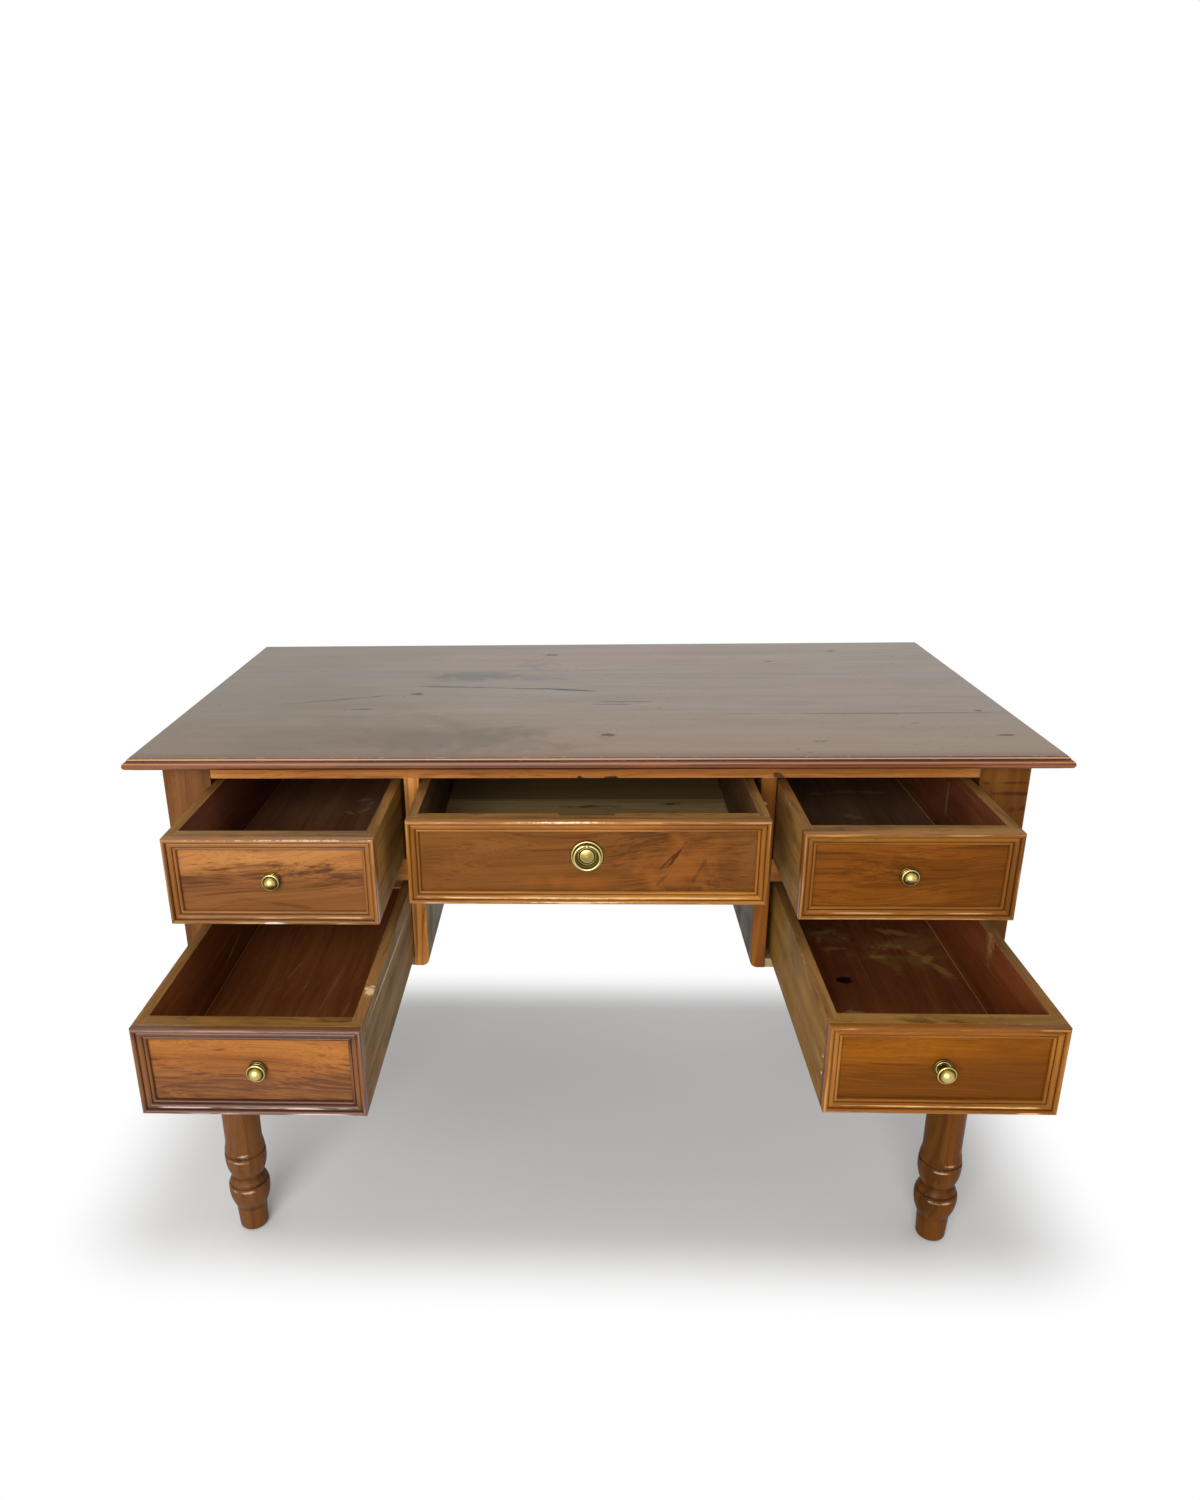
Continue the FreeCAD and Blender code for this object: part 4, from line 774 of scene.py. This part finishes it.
def dress_drawers():
    """Finishes of the five drawers and their brass."""
    fronts = front_looks()
    strips = moulding_looks()
    marks = inside_marks()
    outside = {
        "upper_left_drawer": ("#755426", "#976e34", "#aa8246"),
        "lower_left_drawer": ("#6c5130", "#8c6d46", "#9e8056"),
        "centre_drawer": ("#5e4622", "#7a5c32", "#8e7042"),
        "upper_right_drawer": ("#6e4d22", "#906734", "#a47b44"),
        "lower_right_drawer": ("#684a1a", "#865f28", "#9a7436"),
    }
    inside = {
        "upper_left_drawer": ("#5c3020", "#7a4630", "#905c42"),
        "lower_left_drawer": ("#64341a", "#874c27", "#9e6236"),
        "centre_drawer": ("#4e3824", "#644a30", "#7a5e42"),
        "upper_right_drawer": ("#5c3020", "#7c4428", "#925a3a"),
        "lower_right_drawer": ("#68341a", "#8c4a26", "#a46036"),
    }
    floors = {
        "upper_left_drawer": ("#664027", "#855639", "#9a6c4c"),
        "lower_left_drawer": inside["lower_left_drawer"],
        "centre_drawer": ("#ac8c58", "#c8a870", "#dabc88"),
        "upper_right_drawer": ("#593e2b", "#75533b", "#8a6a50"),
        "lower_right_drawer": ("#602f18", "#7c4223", "#945833"),
    }
    for index, drawer in enumerate(DRAWERS):
        seed = index * 5.0
        dress(drawer_front(drawer, seed, **fronts[drawer]), drawer + "_front")
        dress(drawer_moulding(drawer, seed, **strips[drawer]), drawer + "_moulding")
        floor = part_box(drawer + "_bottom")[1].z
        floor_grain = "X" if drawer == "centre_drawer" else "Y"
        boards = (("_side_left", "Y", 0, 1, inside, floor), ("_side_right", "Y", 0, -1, inside, floor),
                  ("_back", "X", 1, -1, inside, floor), ("_bottom", floor_grain, 2, 1, floors, None))
        for step, (board, grain, axis, sign, lining, seam) in enumerate(boards):
            node = drawer + board
            dress(drawer_board("planed_walnut_" + node, grain, axis, sign, outside[drawer], lining[drawer],
                               seed + step, marks.get(node, ()), seam), node)
        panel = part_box(drawer + "_front")[0].y
        brass = aged_brass(drawer, panel)
        if drawer == "centre_drawer":
            dress(brass, "pull_post", "pull_ring")
            low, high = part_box("pull_rosette")
            dress(aged_brass("rosette", panel, (low + high) / 2), "pull_rosette")
        else:
            dress(brass, drawer + "_knob")


def new_piece(name, shape, material):
    """An object at the origin from a finished bmesh."""
    bmesh.ops.recalc_face_normals(shape, faces=shape.faces)
    mesh = bpy.data.meshes.new(name)
    shape.to_mesh(mesh)
    shape.free()
    mesh.materials.append(material)
    piece = bpy.data.objects.new(name, mesh)
    bpy.context.scene.collection.objects.link(piece)
    return piece


def nail_heads():
    """Two rusty nails, pale where rubbed, through the lower right drawer's left side into its front."""
    material, tree, shader = new_finish("rusted_wrought_iron_nails", {"Metallic": 0.6})
    cloud = layer(tree, along_grain(tree, "X"), 1.5, 1.5, detail=4.0)
    colour = stained(tree, "#b9ae9c", "#6b5440", cloud, 0.4, 0.65)
    join(tree, shader, colour, ramp(tree, cloud, 0.3, 0.7, 0.35, 0.65))
    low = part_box("lower_right_drawer_side_left")[0]
    sideways = Matrix.Rotation(math.pi / 2, 4, "Y")
    shape = bmesh.new()
    for height in NAIL_HEIGHTS:
        place = Matrix.Translation((low.x, low.y + NAIL_INSET, low.z + height)) @ sideways
        bmesh.ops.create_cone(shape, cap_ends=True, segments=20, radius1=NAIL_RADIUS, radius2=NAIL_RADIUS,
                              depth=NAIL_THICKNESS, matrix=place)
    bmesh.ops.bevel(shape, geom=shape.edges[:], offset=NAIL_ROUNDING, segments=2, profile=0.5, affect="EDGES",
                    material=-1)
    piece = new_piece("lower_right_drawer_nails", shape, material)
    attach(piece, "lower_right_drawer")


def seen_rays(tree):
    """1 for rays that show the surroundings, straight or mirrored in a gloss."""
    path = add(tree, "LightPath").outputs
    return worked(tree, "MAXIMUM", path["Is Camera Ray"], path["Is Glossy Ray"])


def white_paper():
    """Matt white paper that keeps the desk's shadow and glows plain white away from it."""
    material = bpy.data.materials.new("matt_white_paper")
    tree = new_tree(material)
    place = here(tree)
    off = vectored(tree, "ABSOLUTE", vectored(tree, "SUBTRACT", place, SHADOW_MIDDLE))
    past = vectored(tree, "MAXIMUM", vectored(tree, "SUBTRACT", off, SHADOW_HALF))
    apart = length_of(tree, vectored(tree, "MULTIPLY", past, SHADOW_SPREAD))
    far = ramp(tree, apart, 0.0, SHADOW_FADE, smooth=True)
    tone = ramp(tree, layer(tree, place, 3, 3, detail=2.0), 0.3, 0.7, *PAPER_TONES)
    matt = add(tree, "BsdfDiffuse", {0: tone})
    glow = add(tree, "Emission", {0: (1, 1, 1, 1), 1: 1.0})
    white = both(tree, seen_rays(tree), far)
    cover = add(tree, "MixShader", {0: white, 1: matt.outputs[0], 2: glow.outputs[0]})
    add(tree, "OutputMaterial", {0: cover.outputs[0]})
    return material


def studio():
    """White floor, white surroundings and soft lamps."""
    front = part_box("top_board_front")[0].y
    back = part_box("top_board_back")[1].y
    middle = (front + back) / 2
    material = white_paper()
    shape = bmesh.new()
    bmesh.ops.create_circle(shape, cap_ends=True, segments=96, radius=FLOOR_RADIUS,
                            matrix=Matrix.Translation((0, middle, 0)))
    new_piece("studio_floor", shape, material)

    world = bpy.data.worlds.new("white_studio")
    bpy.context.scene.world = world
    tree = new_tree(world)
    strength = ramp(tree, seen_rays(tree), 0.0, 1.0, WORLD_LIGHT, WORLD_SEEN)
    light = add(tree, "Background", {0: (1, 1, 1, 1), 1: strength})
    add(tree, "OutputWorld", {0: light.outputs[0]})

    lamps = (("overhead_softbox", (-0.3, middle - 0.3, 3.0), (0, middle, 0.5), 2.4, 20.0),
             ("front_softbox", (-0.7, front - 3.0, 1.5), (0, front, 0.6), 2.4, 110.0))
    for name, place, target, size, power in lamps:
        lamp = bpy.data.lights.new(name, "AREA")
        lamp.shape = "DISK"
        lamp.size = size
        lamp.energy = power
        holder = bpy.data.objects.new(name, lamp)
        holder.location = place
        holder.rotation_euler = (Vector(target) - Vector(place)).to_track_quat("-Z", "Y").to_euler()
        bpy.context.scene.collection.objects.link(holder)


def photograph_camera():
    """The camera at the photograph's place and framing."""
    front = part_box("top_board_front")[0].y
    data = bpy.data.cameras.new("photograph_camera")
    data.lens = CAMERA_LENS
    data.shift_x = CAMERA_SHIFT_X
    data.shift_y = CAMERA_SHIFT_Y
    right = Vector((math.cos(CAMERA_YAW), -math.sin(CAMERA_YAW), 0))
    level = math.cos(CAMERA_PITCH)
    ahead = Vector((math.sin(CAMERA_YAW) * level, math.cos(CAMERA_YAW) * level, -math.sin(CAMERA_PITCH)))
    down = ahead.cross(right)
    rolled_right = right * math.cos(CAMERA_ROLL) + down * math.sin(CAMERA_ROLL)
    rolled_down = down * math.cos(CAMERA_ROLL) - right * math.sin(CAMERA_ROLL)
    camera = bpy.data.objects.new("photograph_camera", data)
    turn = Matrix((rolled_right, -rolled_down, -ahead)).transposed().to_4x4()
    camera.matrix_world = Matrix.Translation((CAMERA_SIDE, front - CAMERA_BACK, CAMERA_HEIGHT)) @ turn
    bpy.context.scene.collection.objects.link(camera)
    bpy.context.scene.camera = camera


dress_top()
dress_carcass()
dress_drawers()
nail_heads()
studio()
photograph_camera()
bpy.context.scene.view_settings.view_transform = "Standard"
